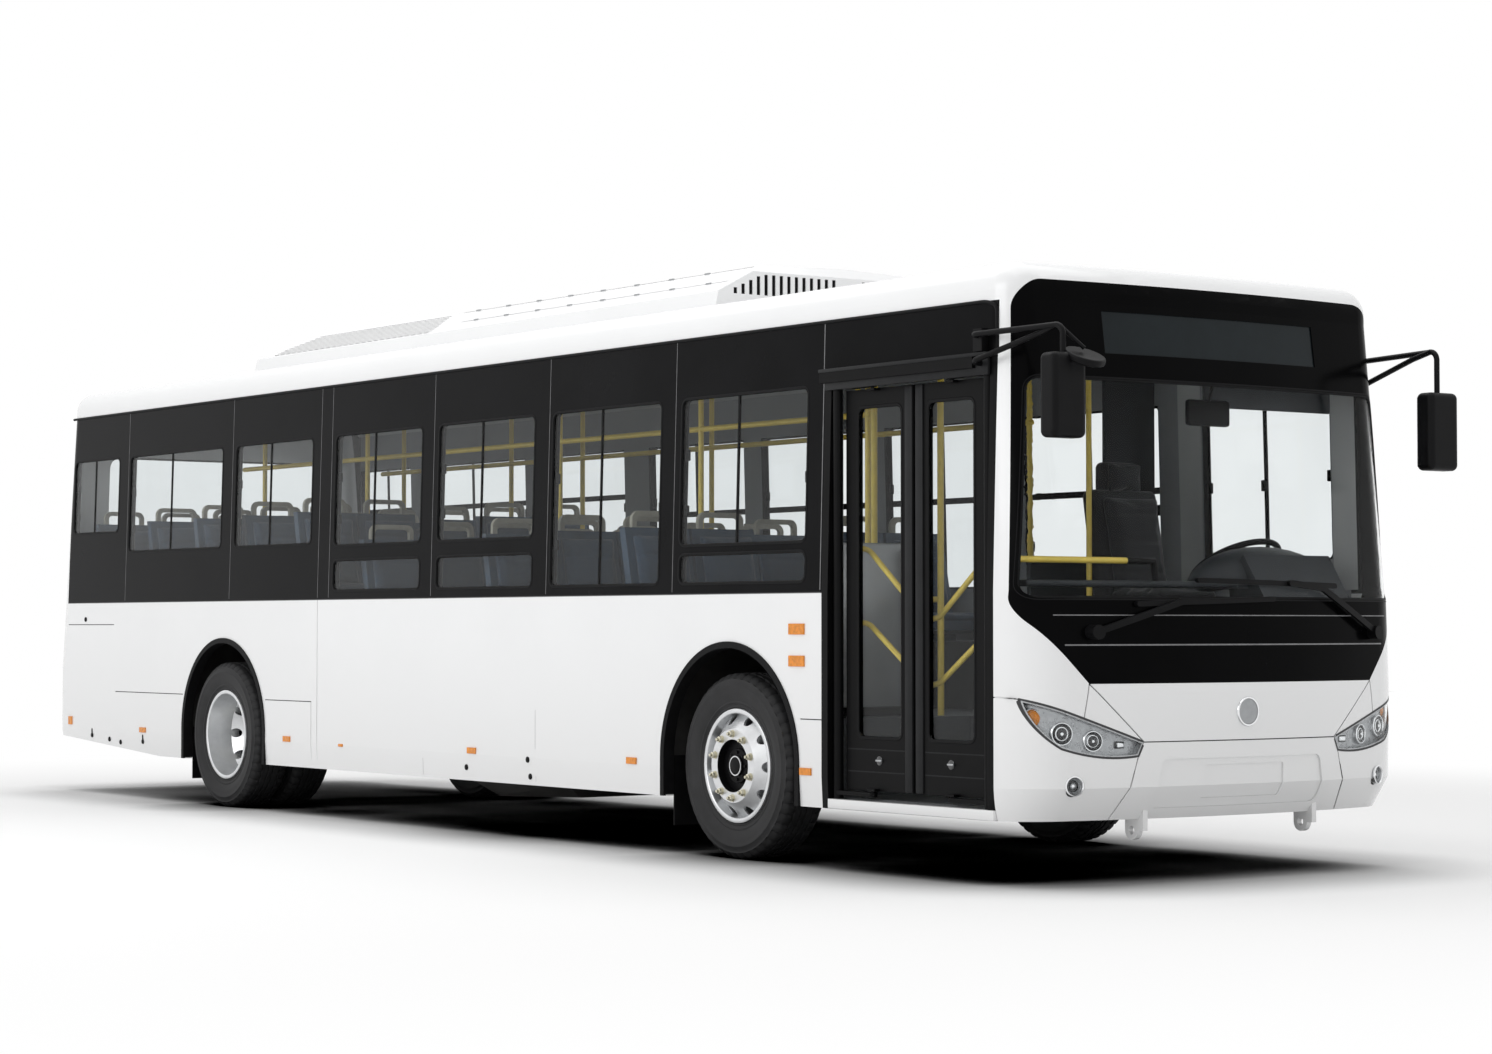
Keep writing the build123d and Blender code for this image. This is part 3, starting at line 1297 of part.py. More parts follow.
rail_bars = []
for side in (-1, 1):
    y = side * GRAB_Y
    rail_bars.append(rod((GRAB_ENDS_X[0], y, GRAB_Z), (GRAB_ENDS_X[1], y, GRAB_Z), GRAB_R))
    for x, foot_z in GRAB_POLES:
        rail_bars.append(rod((x, y, foot_z), (x, y, CEILING_Z), GRAB_R))
for x, floor_z, foot_z, places, leg_y in SEAT_ROWS:
    for y in places:
        rail_bars.append(seat_handle(x - 68, y, floor_z + BACK_TOP))
with BuildPart() as grab_rails:
    add(rail_bars)
save(grab_rails.part, "grab_rails")

# Tow eyes under the bumpers
with BuildPart() as tow_lugs:
    for x, eye_z, root_x, root_z in TOW_LUGS:
        for side in (-1, 1):
            y = side * TOW_Y
            x0, x1 = sorted((root_x, x - TOW_R if x > 0 else x + TOW_R))
            add(block(x0, x1, y - TOW_THICK / 2, y + TOW_THICK / 2, eye_z, root_z))
            add(rod((x, y - TOW_THICK / 2, eye_z), (x, y + TOW_THICK / 2, eye_z), TOW_R))
            add(rod((x, y - TOW_THICK, eye_z), (x, y + TOW_THICK, eye_z), TOW_HOLE_R), mode=Mode.SUBTRACT)
    add(bumper_centre.part, mode=Mode.SUBTRACT)
    add(rear_bumper.part, mode=Mode.SUBTRACT)
save(tow_lugs.part, "tow_lugs")
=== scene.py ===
"""Dressing of a city bus: materials, tyres, trim, lamps, the inside, light and camera."""

from math import atan2, ceil, cos, exp, hypot, pi, radians, sin

import bmesh
import bpy
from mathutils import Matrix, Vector
from mathutils.bvhtree import BVHTree


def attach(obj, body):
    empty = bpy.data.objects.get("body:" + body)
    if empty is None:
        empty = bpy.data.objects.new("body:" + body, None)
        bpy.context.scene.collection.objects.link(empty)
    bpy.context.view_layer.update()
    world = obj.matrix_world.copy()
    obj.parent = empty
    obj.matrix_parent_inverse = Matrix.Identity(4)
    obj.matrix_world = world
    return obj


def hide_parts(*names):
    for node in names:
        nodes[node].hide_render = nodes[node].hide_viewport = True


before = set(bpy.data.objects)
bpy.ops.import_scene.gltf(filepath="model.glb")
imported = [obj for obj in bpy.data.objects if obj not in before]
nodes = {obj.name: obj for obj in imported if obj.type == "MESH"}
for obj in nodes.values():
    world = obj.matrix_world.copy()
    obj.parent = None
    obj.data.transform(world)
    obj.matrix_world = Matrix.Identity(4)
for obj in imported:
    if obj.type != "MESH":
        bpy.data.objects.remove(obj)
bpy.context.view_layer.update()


# Materials
def fill(node, **values):
    """Sets constants on a node's inputs, with underscores for blanks in their names."""
    for socket, value in values.items():
        node.inputs[socket.replace("_", " ")].default_value = value


DUST = (0.34, 0.31, 0.27, 1.0)
DUST_LOW = 0.25
DUST_HIGH = 1.15


def shade(colour, factor):
    return tuple(min(1.0, c * factor) for c in colour) + (1.0,)


def material(
    name, colour, rough, metal=0.0, spread=0.06, grain=5.0, uneven=0.05, bump=None, dust=0.0, shine=0.5,
    **sockets
):
    """A surface with mottled colour, uneven gloss, fine relief and dust that thickens towards the ground."""
    made = bpy.data.materials.new(name)
    made.use_nodes = True
    tree = made.node_tree
    new = tree.nodes.new
    link = tree.links.new
    shader = tree.nodes["Principled BSDF"]
    coords = new("ShaderNodeTexCoord").outputs["Object"]
    mottle = new("ShaderNodeTexNoise")
    fill(mottle, Scale=grain, Detail=6.0, Roughness=0.6)
    link(coords, mottle.inputs["Vector"])
    ramp = new("ShaderNodeValToRGB")
    low, high = ramp.color_ramp.elements
    low.position = 0.32
    high.position = 0.68
    low.color = shade(colour, 1 - spread)
    high.color = shade(colour, 1 + spread)
    link(mottle.outputs["Fac"], ramp.inputs["Fac"])
    tint = ramp.outputs["Color"]
    if dust:
        split = new("ShaderNodeSeparateXYZ")
        link(coords, split.inputs[0])
        fade = new("ShaderNodeMapRange")
        fill(fade, From_Min=DUST_LOW, From_Max=DUST_HIGH, To_Min=dust, To_Max=0.0)
        link(split.outputs["Z"], fade.inputs["Value"])
        patch = new("ShaderNodeMath")
        patch.operation = "MULTIPLY"
        link(fade.outputs["Result"], patch.inputs[0])
        link(mottle.outputs["Fac"], patch.inputs[1])
        mix = new("ShaderNodeMix")
        mix.data_type = "RGBA"
        mix.inputs["B"].default_value = DUST
        link(patch.outputs[0], mix.inputs["Factor"])
        link(tint, mix.inputs["A"])
        tint = mix.outputs["Result"]
    link(tint, shader.inputs["Base Color"])
    gloss = new("ShaderNodeMapRange")
    fill(gloss, To_Min=max(0.0, rough - uneven), To_Max=rough + uneven)
    link(mottle.outputs["Fac"], gloss.inputs["Value"])
    if uneven:
        link(gloss.outputs["Result"], shader.inputs["Roughness"])
    else:
        shader.inputs["Roughness"].default_value = rough
    if bump:
        fine = new("ShaderNodeTexNoise")
        fill(fine, Scale=bump[1], Detail=3.0)
        link(coords, fine.inputs["Vector"])
        relief = new("ShaderNodeBump")
        fill(relief, Strength=bump[0], Distance=0.002)
        link(fine.outputs["Fac"], relief.inputs["Height"])
        link(relief.outputs["Normal"], shader.inputs["Normal"])
    fill(shader, Metallic=metal, Specular_IOR_Level=shine, **sockets)
    return made


MAT = {
    "white": material(
        "white_paint", (0.83, 0.835, 0.84), 0.24, spread=0.012, grain=1.3, bump=(0.015, 420), dust=0.16,
        Coat_Weight=0.5, Coat_Roughness=0.08,
    ),
    "black": material(
        "black_panel", (0.0045, 0.0045, 0.005), 0.24, spread=0.25, grain=2.2, uneven=0.08, bump=(0.01, 350),
        shine=0.045,
    ),
    "mask": material(
        "mask_panel", (0.0016, 0.0016, 0.0018), 0.20, spread=0.25, grain=2.2, uneven=0.06, bump=(0.01, 350),
        shine=0.03,
    ),
    "frame": material(
        "dark_frame", (0.0035, 0.0035, 0.0038), 0.40, spread=0.2, grain=6, bump=(0.04, 500), shine=0.08,
    ),
    "profile": material(
        "door_profile", (0.016, 0.0165, 0.0175), 0.45, spread=0.15, grain=9, bump=(0.05, 600), shine=0.12,
    ),
    "rubber": material(
        "black_rubber", (0.006, 0.006, 0.0065), 0.55, spread=0.25, grain=12, uneven=0.1, bump=(0.08, 500),
        shine=0.1,
    ),
    "tyre": material(
        "tyre_rubber", (0.022, 0.022, 0.023), 0.62, spread=0.3, grain=9, uneven=0.12, bump=(0.12, 380),
        shine=0.25,
    ),
    "seam": material("shut_line", (0.028, 0.028, 0.03), 0.6, spread=0.2, grain=20),
    "trim_grey": material("grey_sealer", (0.36, 0.36, 0.37), 0.6, spread=0.15, grain=20),
    "seam_grey": material("band_seam", (0.17, 0.17, 0.175), 0.4, spread=0.2, grain=20),
    "silver": material(
        "wheel_silver", (0.70, 0.71, 0.72), 0.33, metal=0.75, grain=14, uneven=0.08, bump=(0.03, 300),
    ),
    "chrome": material(
        "bright_chrome", (0.82, 0.83, 0.84), 0.09, metal=1.0, spread=0.03, grain=30, uneven=0.04,
    ),
    "nut": material("plated_nut", (0.62, 0.59, 0.47), 0.3, metal=0.95, spread=0.12, grain=60),
    "steel": material(
        "steel_dark", (0.035, 0.034, 0.033), 0.55, metal=0.3, spread=0.35, grain=7, uneven=0.12,
        bump=(0.1, 160),
    ),
    "cast": material(
        "cast_iron", (0.05, 0.046, 0.043), 0.6, metal=0.4, spread=0.35, grain=10, uneven=0.12,
        bump=(0.12, 120),
    ),
    "plastic": material(
        "dark_plastic", (0.0045, 0.0045, 0.005), 0.42, spread=0.2, grain=8, uneven=0.08, bump=(0.08, 700),
        shine=0.1,
    ),
    "dash": material(
        "dash_plastic", (0.022, 0.025, 0.029), 0.5, spread=0.2, grain=8, bump=(0.12, 800), shine=0.3,
    ),
    "yellow": material("yellow_rail", (0.78, 0.58, 0.10), 0.35, spread=0.08, grain=15, bump=(0.05, 300)),
    "handle": material("seat_handle", (0.36, 0.34, 0.28), 0.45, spread=0.12, grain=20, bump=(0.06, 400)),
    "seat": material("seat_shell", (0.020, 0.050, 0.092), 0.42, spread=0.18, grain=7, bump=(0.05, 500)),
    "fabric": material(
        "seat_fabric", (0.017, 0.042, 0.080), 0.8, spread=0.28, grain=60, uneven=0.08, bump=(0.3, 900),
        Sheen_Weight=0.25,
    ),
    "driver": material(
        "driver_fabric", (0.014, 0.015, 0.018), 0.85, spread=0.3, grain=50, bump=(0.3, 900),
        Sheen_Weight=0.2,
    ),
    "lining": material("cabin_lining", (0.24, 0.25, 0.26), 0.6, spread=0.08, grain=3, bump=(0.06, 400)),
    "ceiling": material("cabin_ceiling", (0.42, 0.43, 0.43), 0.65, grain=3, bump=(0.05, 350)),
    "panel": material("cabin_panel", (0.45, 0.46, 0.47), 0.35, metal=0.35, bump=(0.03, 300)),
    "floor": material("floor_covering", (0.10, 0.105, 0.11), 0.6, spread=0.3, grain=90, bump=(0.1, 900)),
    "amber": material("amber_lens", (0.72, 0.24, 0.015), 0.16, spread=0.22, grain=60, bump=(0.3, 160)),
    "red": material("red_lens", (0.42, 0.012, 0.012), 0.16, spread=0.22, grain=60, bump=(0.3, 160)),
    "sign": material("sign_panel", (0.010, 0.014, 0.016), 0.2, spread=0.12, shine=0.12),
    "reflector": material(
        "lamp_reflector", (0.42, 0.43, 0.44), 0.28, metal=0.6, spread=0.12, grain=25, bump=(0.1, 60),
    ),
    "bulb": material("lamp_core", (0.015, 0.016, 0.018), 0.08, spread=0.3, grain=30, Coat_Weight=0.6),
    "glass": material(
        "tinted_glass", (0.84, 0.865, 0.87), 0.0, spread=0.02, grain=2, uneven=0.0, Transmission_Weight=1.0,
        IOR=1.2,
    ),
    "screen": material(
        "screen_glass", (0.95, 0.965, 0.965), 0.0, spread=0.012, grain=2, uneven=0.0,
        Transmission_Weight=1.0, IOR=1.12,
    ),
    "lens": material(
        "clear_lens", (0.96, 0.97, 0.975), 0.0, spread=0.012, grain=12, uneven=0.0, Transmission_Weight=1.0,
        IOR=1.2,
    ),
    "mirror": material(
        "mirror_glass", (0.78, 0.80, 0.82), 0.03, metal=1.0, spread=0.03, grain=10, uneven=0.02,
    ),
    "disc": material("blank_disc", (0.34, 0.35, 0.36), 0.35, metal=0.5, grain=30, bump=(0.04, 400)),
}

# Material of each solid
DRESS = {
    "white": "roof_panel front_bonnet bumper_centre bumper_corners front_corners side_lower_left "
    "side_lower_right rear_panel rear_bumper engine_lid roof_unit tow_lugs",
    "mask": "front_mask",
    "black": "window_band_left window_band_right",
    "frame": "door_surround door_leaf_front door_leaf_rear door_post_front door_post_rear",
    "rubber": "arch_trims mud_flaps",
    "screen": "windscreen",
    "glass": "side_glass rear_window door_glass_front door_glass_rear",
    "lens": "lamp_lenses",
    "reflector": "headlamps",
    "red": "tail_lamps",
    "amber": "side_markers",
    "sign": "destination_sign",
    "silver": "front_rim_left front_rim_right rear_rims_left rear_rims_right",
    "tyre": "front_tyre_left front_tyre_right rear_tyres_left rear_tyres_right",
    "steel": "chassis_frame wheel_housings",
    "cast": "front_axle rear_axle knuckle_left knuckle_right tie_rod engine_block",
    "plastic": "mirror_left mirror_right wipers steering_wheel",
    "dash": "dashboard",
    "driver": "driver_seat",
    "seat": "passenger_seats",
    "yellow": "grab_rails door_rails_front door_rails_rear",
    "floor": "floor entrance_steps",
}
for key, names in DRESS.items():
    for name in names.split():
        node = nodes.get(name)
        if node:
            node.data.materials.clear()
            node.data.materials.append(MAT[key])


# Mesh building
def add(name, data):
    made = bpy.data.objects.new(name, data)
    bpy.context.scene.collection.objects.link(made)
    return made


def block(size, radius, middle=(0.0, 0.0, 0.0)):
    """A box with rounded edges, still open for work."""
    mesh = bmesh.new()
    bmesh.ops.create_cube(mesh, size=1.0)
    for vert in mesh.verts:
        vert.co = vert.co * Vector(size) + Vector(middle)
    bmesh.ops.bevel(mesh, geom=list(mesh.edges), offset=radius, segments=2, affect="EDGES", profile=0.5)
    return mesh


class Bag:
    """Gathers simple forms into one object of one material on one body."""

    def __init__(self):
        self.verts = []
        self.faces = []

    def put(self, verts, faces):
        base = len(self.verts)
        self.verts += [tuple(v) for v in verts]
        self.faces += [tuple(base + i for i in face) for face in faces]

    def box(self, low, high):
        xs, ys, zs = zip(low, high)
        corners = [Vector((x, y, z)) for x in xs for y in ys for z in zs]
        self.put(
            corners, ((0, 1, 3, 2), (4, 6, 7, 5), (0, 4, 5, 1), (2, 3, 7, 6), (0, 2, 6, 4), (1, 5, 7, 3)),
        )

    def soft_box(self, low, high, radius=0.006):
        """A box with rounded edges."""
        size = Vector(high) - Vector(low)
        mesh = block(size, min(radius, 0.45 * min(size)), (Vector(high) + Vector(low)) / 2)
        mesh.verts.index_update()
        self.put([v.co for v in mesh.verts], [[v.index for v in f.verts] for f in mesh.faces])
        mesh.free()

    def lathe(self, profile, centre, axis, count=48, wave=None):
        """Turns radius and reach pairs about an axis; wave lowers a point's radius step by step."""
        axis = Vector(axis).normalized()
        across = axis.orthogonal().normalized()
        other = axis.cross(across)
        centre = Vector(centre)
        verts = []
        for i in range(count):
            angle = 2 * pi * i / count
            ray = across * cos(angle) + other * sin(angle)
            for k, (radius, reach) in enumerate(profile):
                drop = wave(i, k) if wave else 0.0
                verts.append(centre + axis * reach + ray * (radius - drop))
        n = len(profile)
        faces = []
        for i in range(count):
            j = (i + 1) % count
            for k in range(n - 1):
                faces.append((i * n + k, j * n + k, j * n + k + 1, i * n + k + 1))
        self.put(verts, faces)

    def tube(self, points, radius, sides=10):
        """A round bar along points, closed at both ends."""
        points = [Vector(p) for p in points]
        verts = []
        previous = None
        for i, point in enumerate(points):
            before = points[max(0, i - 1)]
            after = points[min(len(points) - 1, i + 1)]
            along = (after - before).normalized()
            if previous is None:
                across = along.orthogonal().normalized()
            else:
                across = (previous - along * previous.dot(along)).normalized()
            previous = across
            other = along.cross(across)
            for s in range(sides):
                angle = 2 * pi * s / sides
                verts.append(point + radius * (across * cos(angle) + other * sin(angle)))
        faces = []
        for i in range(len(points) - 1):
            for s in range(sides):
                t = (s + 1) % sides
                faces.append((i * sides + s, i * sides + t, (i + 1) * sides + t, (i + 1) * sides + s))
        last = (len(points) - 1) * sides
        faces.append(tuple(reversed(range(sides))))
        faces.append(tuple(last + s for s in range(sides)))
        self.put(verts, faces)

    def sheet(self, rows):
        """A skin through rows of points."""
        width = len(rows[0])
        verts = [v for row in rows for v in row]
        faces = []
        for i in range(len(rows) - 1):
            for j in range(width - 1):
                faces.append(
                    (i * width + j, i * width + j + 1, (i + 1) * width + j + 1, (i + 1) * width + j)
                )
        self.put(verts, faces)

    def make(self, name, key, smooth=35.0, body="body"):
        mesh = bpy.data.meshes.new(name)
        mesh.from_pydata(self.verts, [], self.faces)
        mesh.update()
        check = bmesh.new()
        check.from_mesh(mesh)
        bmesh.ops.recalc_face_normals(check, faces=check.faces)
        check.to_mesh(mesh)
        check.free()
        mesh.materials.append(MAT[key])
        if smooth:
            mesh.shade_smooth()
            mesh.set_sharp_from_angle(angle=radians(smooth))
        made = add(name, mesh)
        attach(made, body)
        return made


def bent(points, radius, steps=6):
    """Points of a polyline with its corners rounded."""
    points = [Vector(p) for p in points]
    out = [points[0]]
    for before, corner, after in zip(points, points[1:], points[2:]):
        a = (before - corner).normalized()
        b = (after - corner).normalized()
        reach = min(radius, 0.45 * (before - corner).length, 0.45 * (after - corner).length)
        start = corner + a * reach
        end = corner + b * reach
        for i in range(steps + 1):
            t = i / steps
            out.append(start * (1 - t) ** 2 + corner * 2 * t * (1 - t) + end * t * t)
    out.append(points[-1])
    return out


def surface_of(names):
    """A ray target made of named solids."""
    verts = []
    faces = []
    for name in names:
        node = nodes.get(name)
        if node:
            base = len(verts)
            verts += [v.co.copy() for v in node.data.vertices]
            faces += [tuple(base + i for i in p.vertices) for p in node.data.polygons]
    return BVHTree.FromPolygons(verts, faces)


FRONT = surface_of(
    "front_mask windscreen front_bonnet bumper_centre bumper_corners front_corners headlamps "
    "destination_sign roof_panel".split()
)


def on_front(y, z, lift=0.0):
    """The point of the front face at a width and height, lifted off along X."""
    hit = FRONT.ray_cast(Vector((7.0, y, z)), Vector((-1.0, 0.0, 0.0)))[0]
    if hit is None:
        hit = Vector((5.3, y, z))
    return Vector((hit.x + lift, y, z))


def side_y(z):
    """Half width of the body at a height."""
    if z > 1.38:
        return 1.25 - 0.036 * (min(z, 2.744) - 1.38) / 1.364
    if z < 0.46:
        return 1.25 - 0.008 * (0.46 - z) / 0.155
    return 1.25


def on_side(side, x, z, lift=0.0):
    return Vector((x, side * (side_y(z) + lift), z))


def lifted(place, lift, *first):
    """A function that lays flat points on a surface at one lift."""
    return lambda a, b: place(*first, a, b, lift)


def ribbon(bag, points, width, place, step=0.04):
    """A thin strip along flat points, laid on a surface by a placing function."""
    flat = [Vector(p) for p in points]
    fine = [flat[0]]
    for a, b in zip(flat, flat[1:]):
        count = max(1, ceil((b - a).length / step))
        fine += [a.lerp(b, (i + 1) / count) for i in range(count)]
    left = []
    right = []
    for i, point in enumerate(fine):
        along = (fine[min(len(fine) - 1, i + 1)] - fine[max(0, i - 1)]).normalized()
        across = Vector((-along.y, along.x)) * width / 2
        left.append(place(*(point + across)))
        right.append(place(*(point - across)))
    bag.sheet([left, right])


def ring_points(x0, x1, z0, z1, radius, steps=5):
    """A rounded rectangle as flat points, closed."""
    out = []
    for cx, cz, start in (
        (x1 - radius, z1 - radius, 0), (x0 + radius, z1 - radius, 90), (x0 + radius, z0 + radius, 180),
        (x1 - radius, z0 + radius, 270),
    ):
        for i in range(steps + 1):
            angle = radians(start + 90 * i / steps)
            out.append((cx + radius * cos(angle), cz + radius * sin(angle)))
    return out + [out[0]]


def gasket(bag, outline, inner, outer, place_low, place_high):
    """A raised frame along a closed flat outline: an inner lip, a crown and an outer lip."""
    rows = [[], [], [], []]
    count = len(outline) - 1
    for i in range(count + 1):
        a = Vector(outline[(i - 1) % count])
        b = Vector(outline[(i + 1) % count])
        p = Vector(outline[i % count])
        along = (b - a).normalized()
        out = Vector((along.y, -along.x))
        rows[0].append(place_low(*(p - out * inner)))
        rows[1].append(place_high(*(p - out * inner * 0.6)))
        rows[2].append(place_high(*(p + out * outer * 0.6)))
        rows[3].append(place_low(*(p + out * outer)))
    bag.sheet(rows)


# Tyres with grooves, shoulder lugs and sidewall rings
SIDES = ((-1, "right"), (1, "left"))
FRONT_X = 2.970
REAR_X = -2.930
AXLE_Z = 0.485
FRONT_Y = 1.076
REAR_OUTER_Y = 1.108
REAR_INNER_Y = 0.796
NUT_COUNT = 10
FRONT_NUT_CIRCLE = 0.1675
REAR_NUT_CIRCLE = 0.1575
HUB_BOLTS = 8
HUB_BOLT_CIRCLE = 0.071
ARCH_R = 0.588
ARCH_Z = 0.510
ARCH_FOOT = 0.312
HALF_TYRE = (
    (0.286, 0.105), (0.298, 0.105), (0.303, 0.1125), (0.309, 0.1145), (0.314, 0.1130), (0.326, 0.1180),
    (0.329, 0.1215), (0.335, 0.1215),
    (0.338, 0.1205), (0.365, 0.1300), (0.390, 0.1350), (0.412, 0.1370), (0.416, 0.1385), (0.422, 0.1385),
    (0.425, 0.1365), (0.440, 0.1325),
    (0.449, 0.1300), (0.453, 0.1310), (0.459, 0.1275), (0.468, 0.1190), (0.477, 0.1110), (0.4835, 0.1000),
    (0.4845, 0.0680), (0.4740, 0.0650),
    (0.4740, 0.0590), (0.4850, 0.0560), (0.4850, 0.0230), (0.4740, 0.0200), (0.4740, 0.0140),
    (0.4850, 0.0110),
)
TYRE_PROFILE = HALF_TYRE + tuple((r, -w) for r, w in reversed(HALF_TYRE))
LUG_FIRST = 18
LUG_LAST = 22


def lugs(i, k):
    """Depth of the cross slots at the shoulders and fine sipes between."""
    m = k if k < len(HALF_TYRE) else len(TYRE_PROFILE) - 1 - k
    if LUG_FIRST <= m <= LUG_LAST and i % 4 == 0:
        return 0.009
    if m in (25, 26, 29) and i % 4 == 2:
        return 0.004
    return 0.0


def tyre(name, x, ys, side, body, node):
    bag = Bag()
    for y in ys:
        bag.lathe(TYRE_PROFILE, (x, y, AXLE_Z), (0, side, 0), 192, wave=lugs)
    made = bag.make(name, "tyre", 30, body)
    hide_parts(node)


for side, word in SIDES:
    tyre(
        f"tread_front_{word}", FRONT_X, (side * FRONT_Y,), side, f"wheel_front_{word}",
        f"front_tyre_{word}",
    )
    tyre(
        f"tread_rear_{word}", REAR_X, (side * REAR_OUTER_Y, side * REAR_INNER_Y), side,
        f"wheels_rear_{word}", f"rear_tyres_{word}",
    )

# Wheel nuts, hub covers and rim lips
NUT_PARTS = (
    (16, (0.0, 0.004), (0.0205, 0.004), (0.0205, -0.001)),
    (6, (0.0, 0.024), (0.0135, 0.024), (0.0165, 0.021), (0.0165, 0.003)),
    (12, (0.0, 0.037), (0.0075, 0.036), (0.0085, 0.034), (0.0085, 0.022)),
)
LIP = (
    (0.274, 0.1175), (0.276, 0.1200), (0.282, 0.1215), (0.292, 0.1215), (0.2975, 0.1195), (0.2985, 0.1160),
)


def round_axle(x, radius, count, start=0.0):
    """Places of bolts on a circle about an axle's line."""
    for i in range(count):
        angle = 2 * pi * (i + start) / count
        yield x + radius * cos(angle), AXLE_Z + radius * sin(angle)


for side, word in SIDES:
    front_body = f"wheel_front_{word}"
    rear_body = f"wheels_rear_{word}"
    nuts = Bag()
    hub = Bag()
    face = side * (FRONT_Y + 0.145)
    for x, z in round_axle(FRONT_X, FRONT_NUT_CIRCLE, NUT_COUNT, 0.5):
        for count, *profile in NUT_PARTS:
            nuts.lathe(profile, (x, face, z), (0, side, 0), count)
    nuts.make(f"wheel_nuts_{word}", "nut", 30, front_body)
    hub.lathe(
        (
            (0.0, 0.1335), (0.034, 0.1330), (0.046, 0.1300), (0.0535, 0.1240), (0.0540, 0.1135),
            (0.088, 0.1135), (0.0915, 0.1110), (0.0915, 0.1012), (0.1370, 0.1012), (0.1374, 0.1440),
        ),
        (FRONT_X, side * FRONT_Y, AXLE_Z), (0, side, 0), 64,
    )
    for x, z in round_axle(FRONT_X, HUB_BOLT_CIRCLE, HUB_BOLTS):
        hub.lathe(
            ((0.0, 0.122), (0.008, 0.122), (0.009, 0.120), (0.009, 0.112)), (x, side * FRONT_Y, z),
            (0, side, 0), 6,
        )
    hub.make(f"hub_cover_{word}", "plastic", 35, front_body)
    for end, x, y, body in (
        ("front", FRONT_X, FRONT_Y, front_body), ("rear", REAR_X, REAR_OUTER_Y, rear_body),
    ):
        lip = Bag()
        lip.lathe(LIP, (x, side * y, AXLE_Z), (0, side, 0), 72)
        lip.make(f"rim_lip_{end}_{word}", "silver", 40, body)
    deep = Bag()
    for x, z in round_axle(REAR_X, REAR_NUT_CIRCLE, NUT_COUNT, 0.5):
        deep.lathe(
            ((0.0, 0.040), (0.0085, 0.039), (0.0085, 0.024), (0.0165, 0.022), (0.0165, 0.0)),
            (x, side * (REAR_OUTER_Y - 0.144), z), (0, side, 0), 6,
        )
    deep.make(f"wheel_nuts_rear_{word}", "nut", 30, rear_body)

# Dark liners along the edges of the wheel arches
for side, word in SIDES:
    liner = Bag()
    for x in (FRONT_X, REAR_X):
        edge = [(x + ARCH_R, ARCH_FOOT)]
        for angle in (radians(a) for a in range(0, 181, 5)):
            edge.append((x + ARCH_R * cos(angle), ARCH_Z + ARCH_R * sin(angle)))
        edge.append((x - ARCH_R, ARCH_FOOT))
        liner.sheet([[Vector((px, side * y, pz)) for px, pz in edge] for y in (1.190, 1.2585)])
    liner.make(f"arch_liners_{word}", "rubber", 40)

# Window gaskets, sliding frames and catches
HEAD = 2.425
RIGHT_PANES = (
    (2.505, 3.640, 1.640, HEAD), (2.505, 3.640, 1.437, 1.595), (1.205, 2.315, 1.437, HEAD),
    (-0.085, 1.015, 1.722, HEAD), (-0.085, 1.015, 1.437, 1.632),
    (-1.390, -0.280, 1.722, HEAD), (-1.390, -0.280, 1.437, 1.632), (-2.800, -1.695, 1.742, HEAD),
    (-4.480, -2.995, 1.742, HEAD), (-5.445, -4.660, 1.890, HEAD),
)
LEFT_PANES = (
    (3.985, 4.925, 1.560, HEAD), (2.505, 3.640, 1.437, HEAD), (1.205, 2.315, 1.437, HEAD),
    (-0.085, 1.015, 1.437, HEAD), (-1.390, -0.280, 1.437, HEAD),
    (-2.800, -1.695, 1.742, HEAD), (-4.480, -2.995, 1.742, HEAD), (-5.445, -4.660, 1.742, HEAD),
)
CAB_X = 3.9
CATCH = Vector((0.014, 0.0, 0.03))
BAR_ROOT = -0.0165


def bar_section(half, face):
    """Width and lift of a slider bar's corners, once round."""
    return ((-half, BAR_ROOT), (-half, face), (half, face), (half, BAR_ROOT), (-half, BAR_ROOT))


GLAZED = ((-1, "right", RIGHT_PANES), (1, "left", LEFT_PANES))
for side, word, panes in GLAZED:
    seal = Bag()
    bars = Bag()
    catch = Bag()
    for x0, x1, z0, z1 in panes:
        gasket(
            seal, ring_points(x0, x1, z0, z1, 0.045), 0.010, 0.009, lifted(on_side, -0.006, side),
            lifted(on_side, 0.0022, side),
        )
        if z1 - z0 < 0.3:
            continue
        middle = x0 + 0.46 * (x1 - x0)
        if side > 0 and x0 < CAB_X:
            bar_z = z0 + 0.53 * (z1 - z0)
            bars.sheet(
                [
                    [on_side(side, x, bar_z + d, lift) for x in (x0 + 0.005, x1 - 0.005)]
                    for d, lift in bar_section(0.018, -0.002)
                ]
            )
        half = 0.011 if side > 0 else 0.007
        bars.sheet(
            [
                [on_side(side, middle + d, z, lift) for z in (z0 + 0.005, z1 - 0.005)]
                for d, lift in bar_section(half, -0.0035)
            ]
        )
        spots = ((x0 + 0.028, 0.62), (x1 - 0.028, 0.42), (x0 + 0.028, 0.24))
        if x1 > CAB_X:
            spots = ((x0 + 0.028, 0.46), (middle, 0.46), (x1 - 0.028, 0.50))
        for x, share in spots:
            z = z0 + share * (z1 - z0)
            y = side * (side_y(z) - 0.019)
            low, high = sorted((y, y - side * 0.02))
            catch.soft_box(Vector((x, low, z)) - CATCH, Vector((x, high, z)) + CATCH, 0.005)
    seal.make(f"window_seals_{word}", "rubber", 50)
    bars.make(f"window_sliders_{word}", "rubber", 30)
    catch.make(f"window_catches_{word}", "plastic", 30)

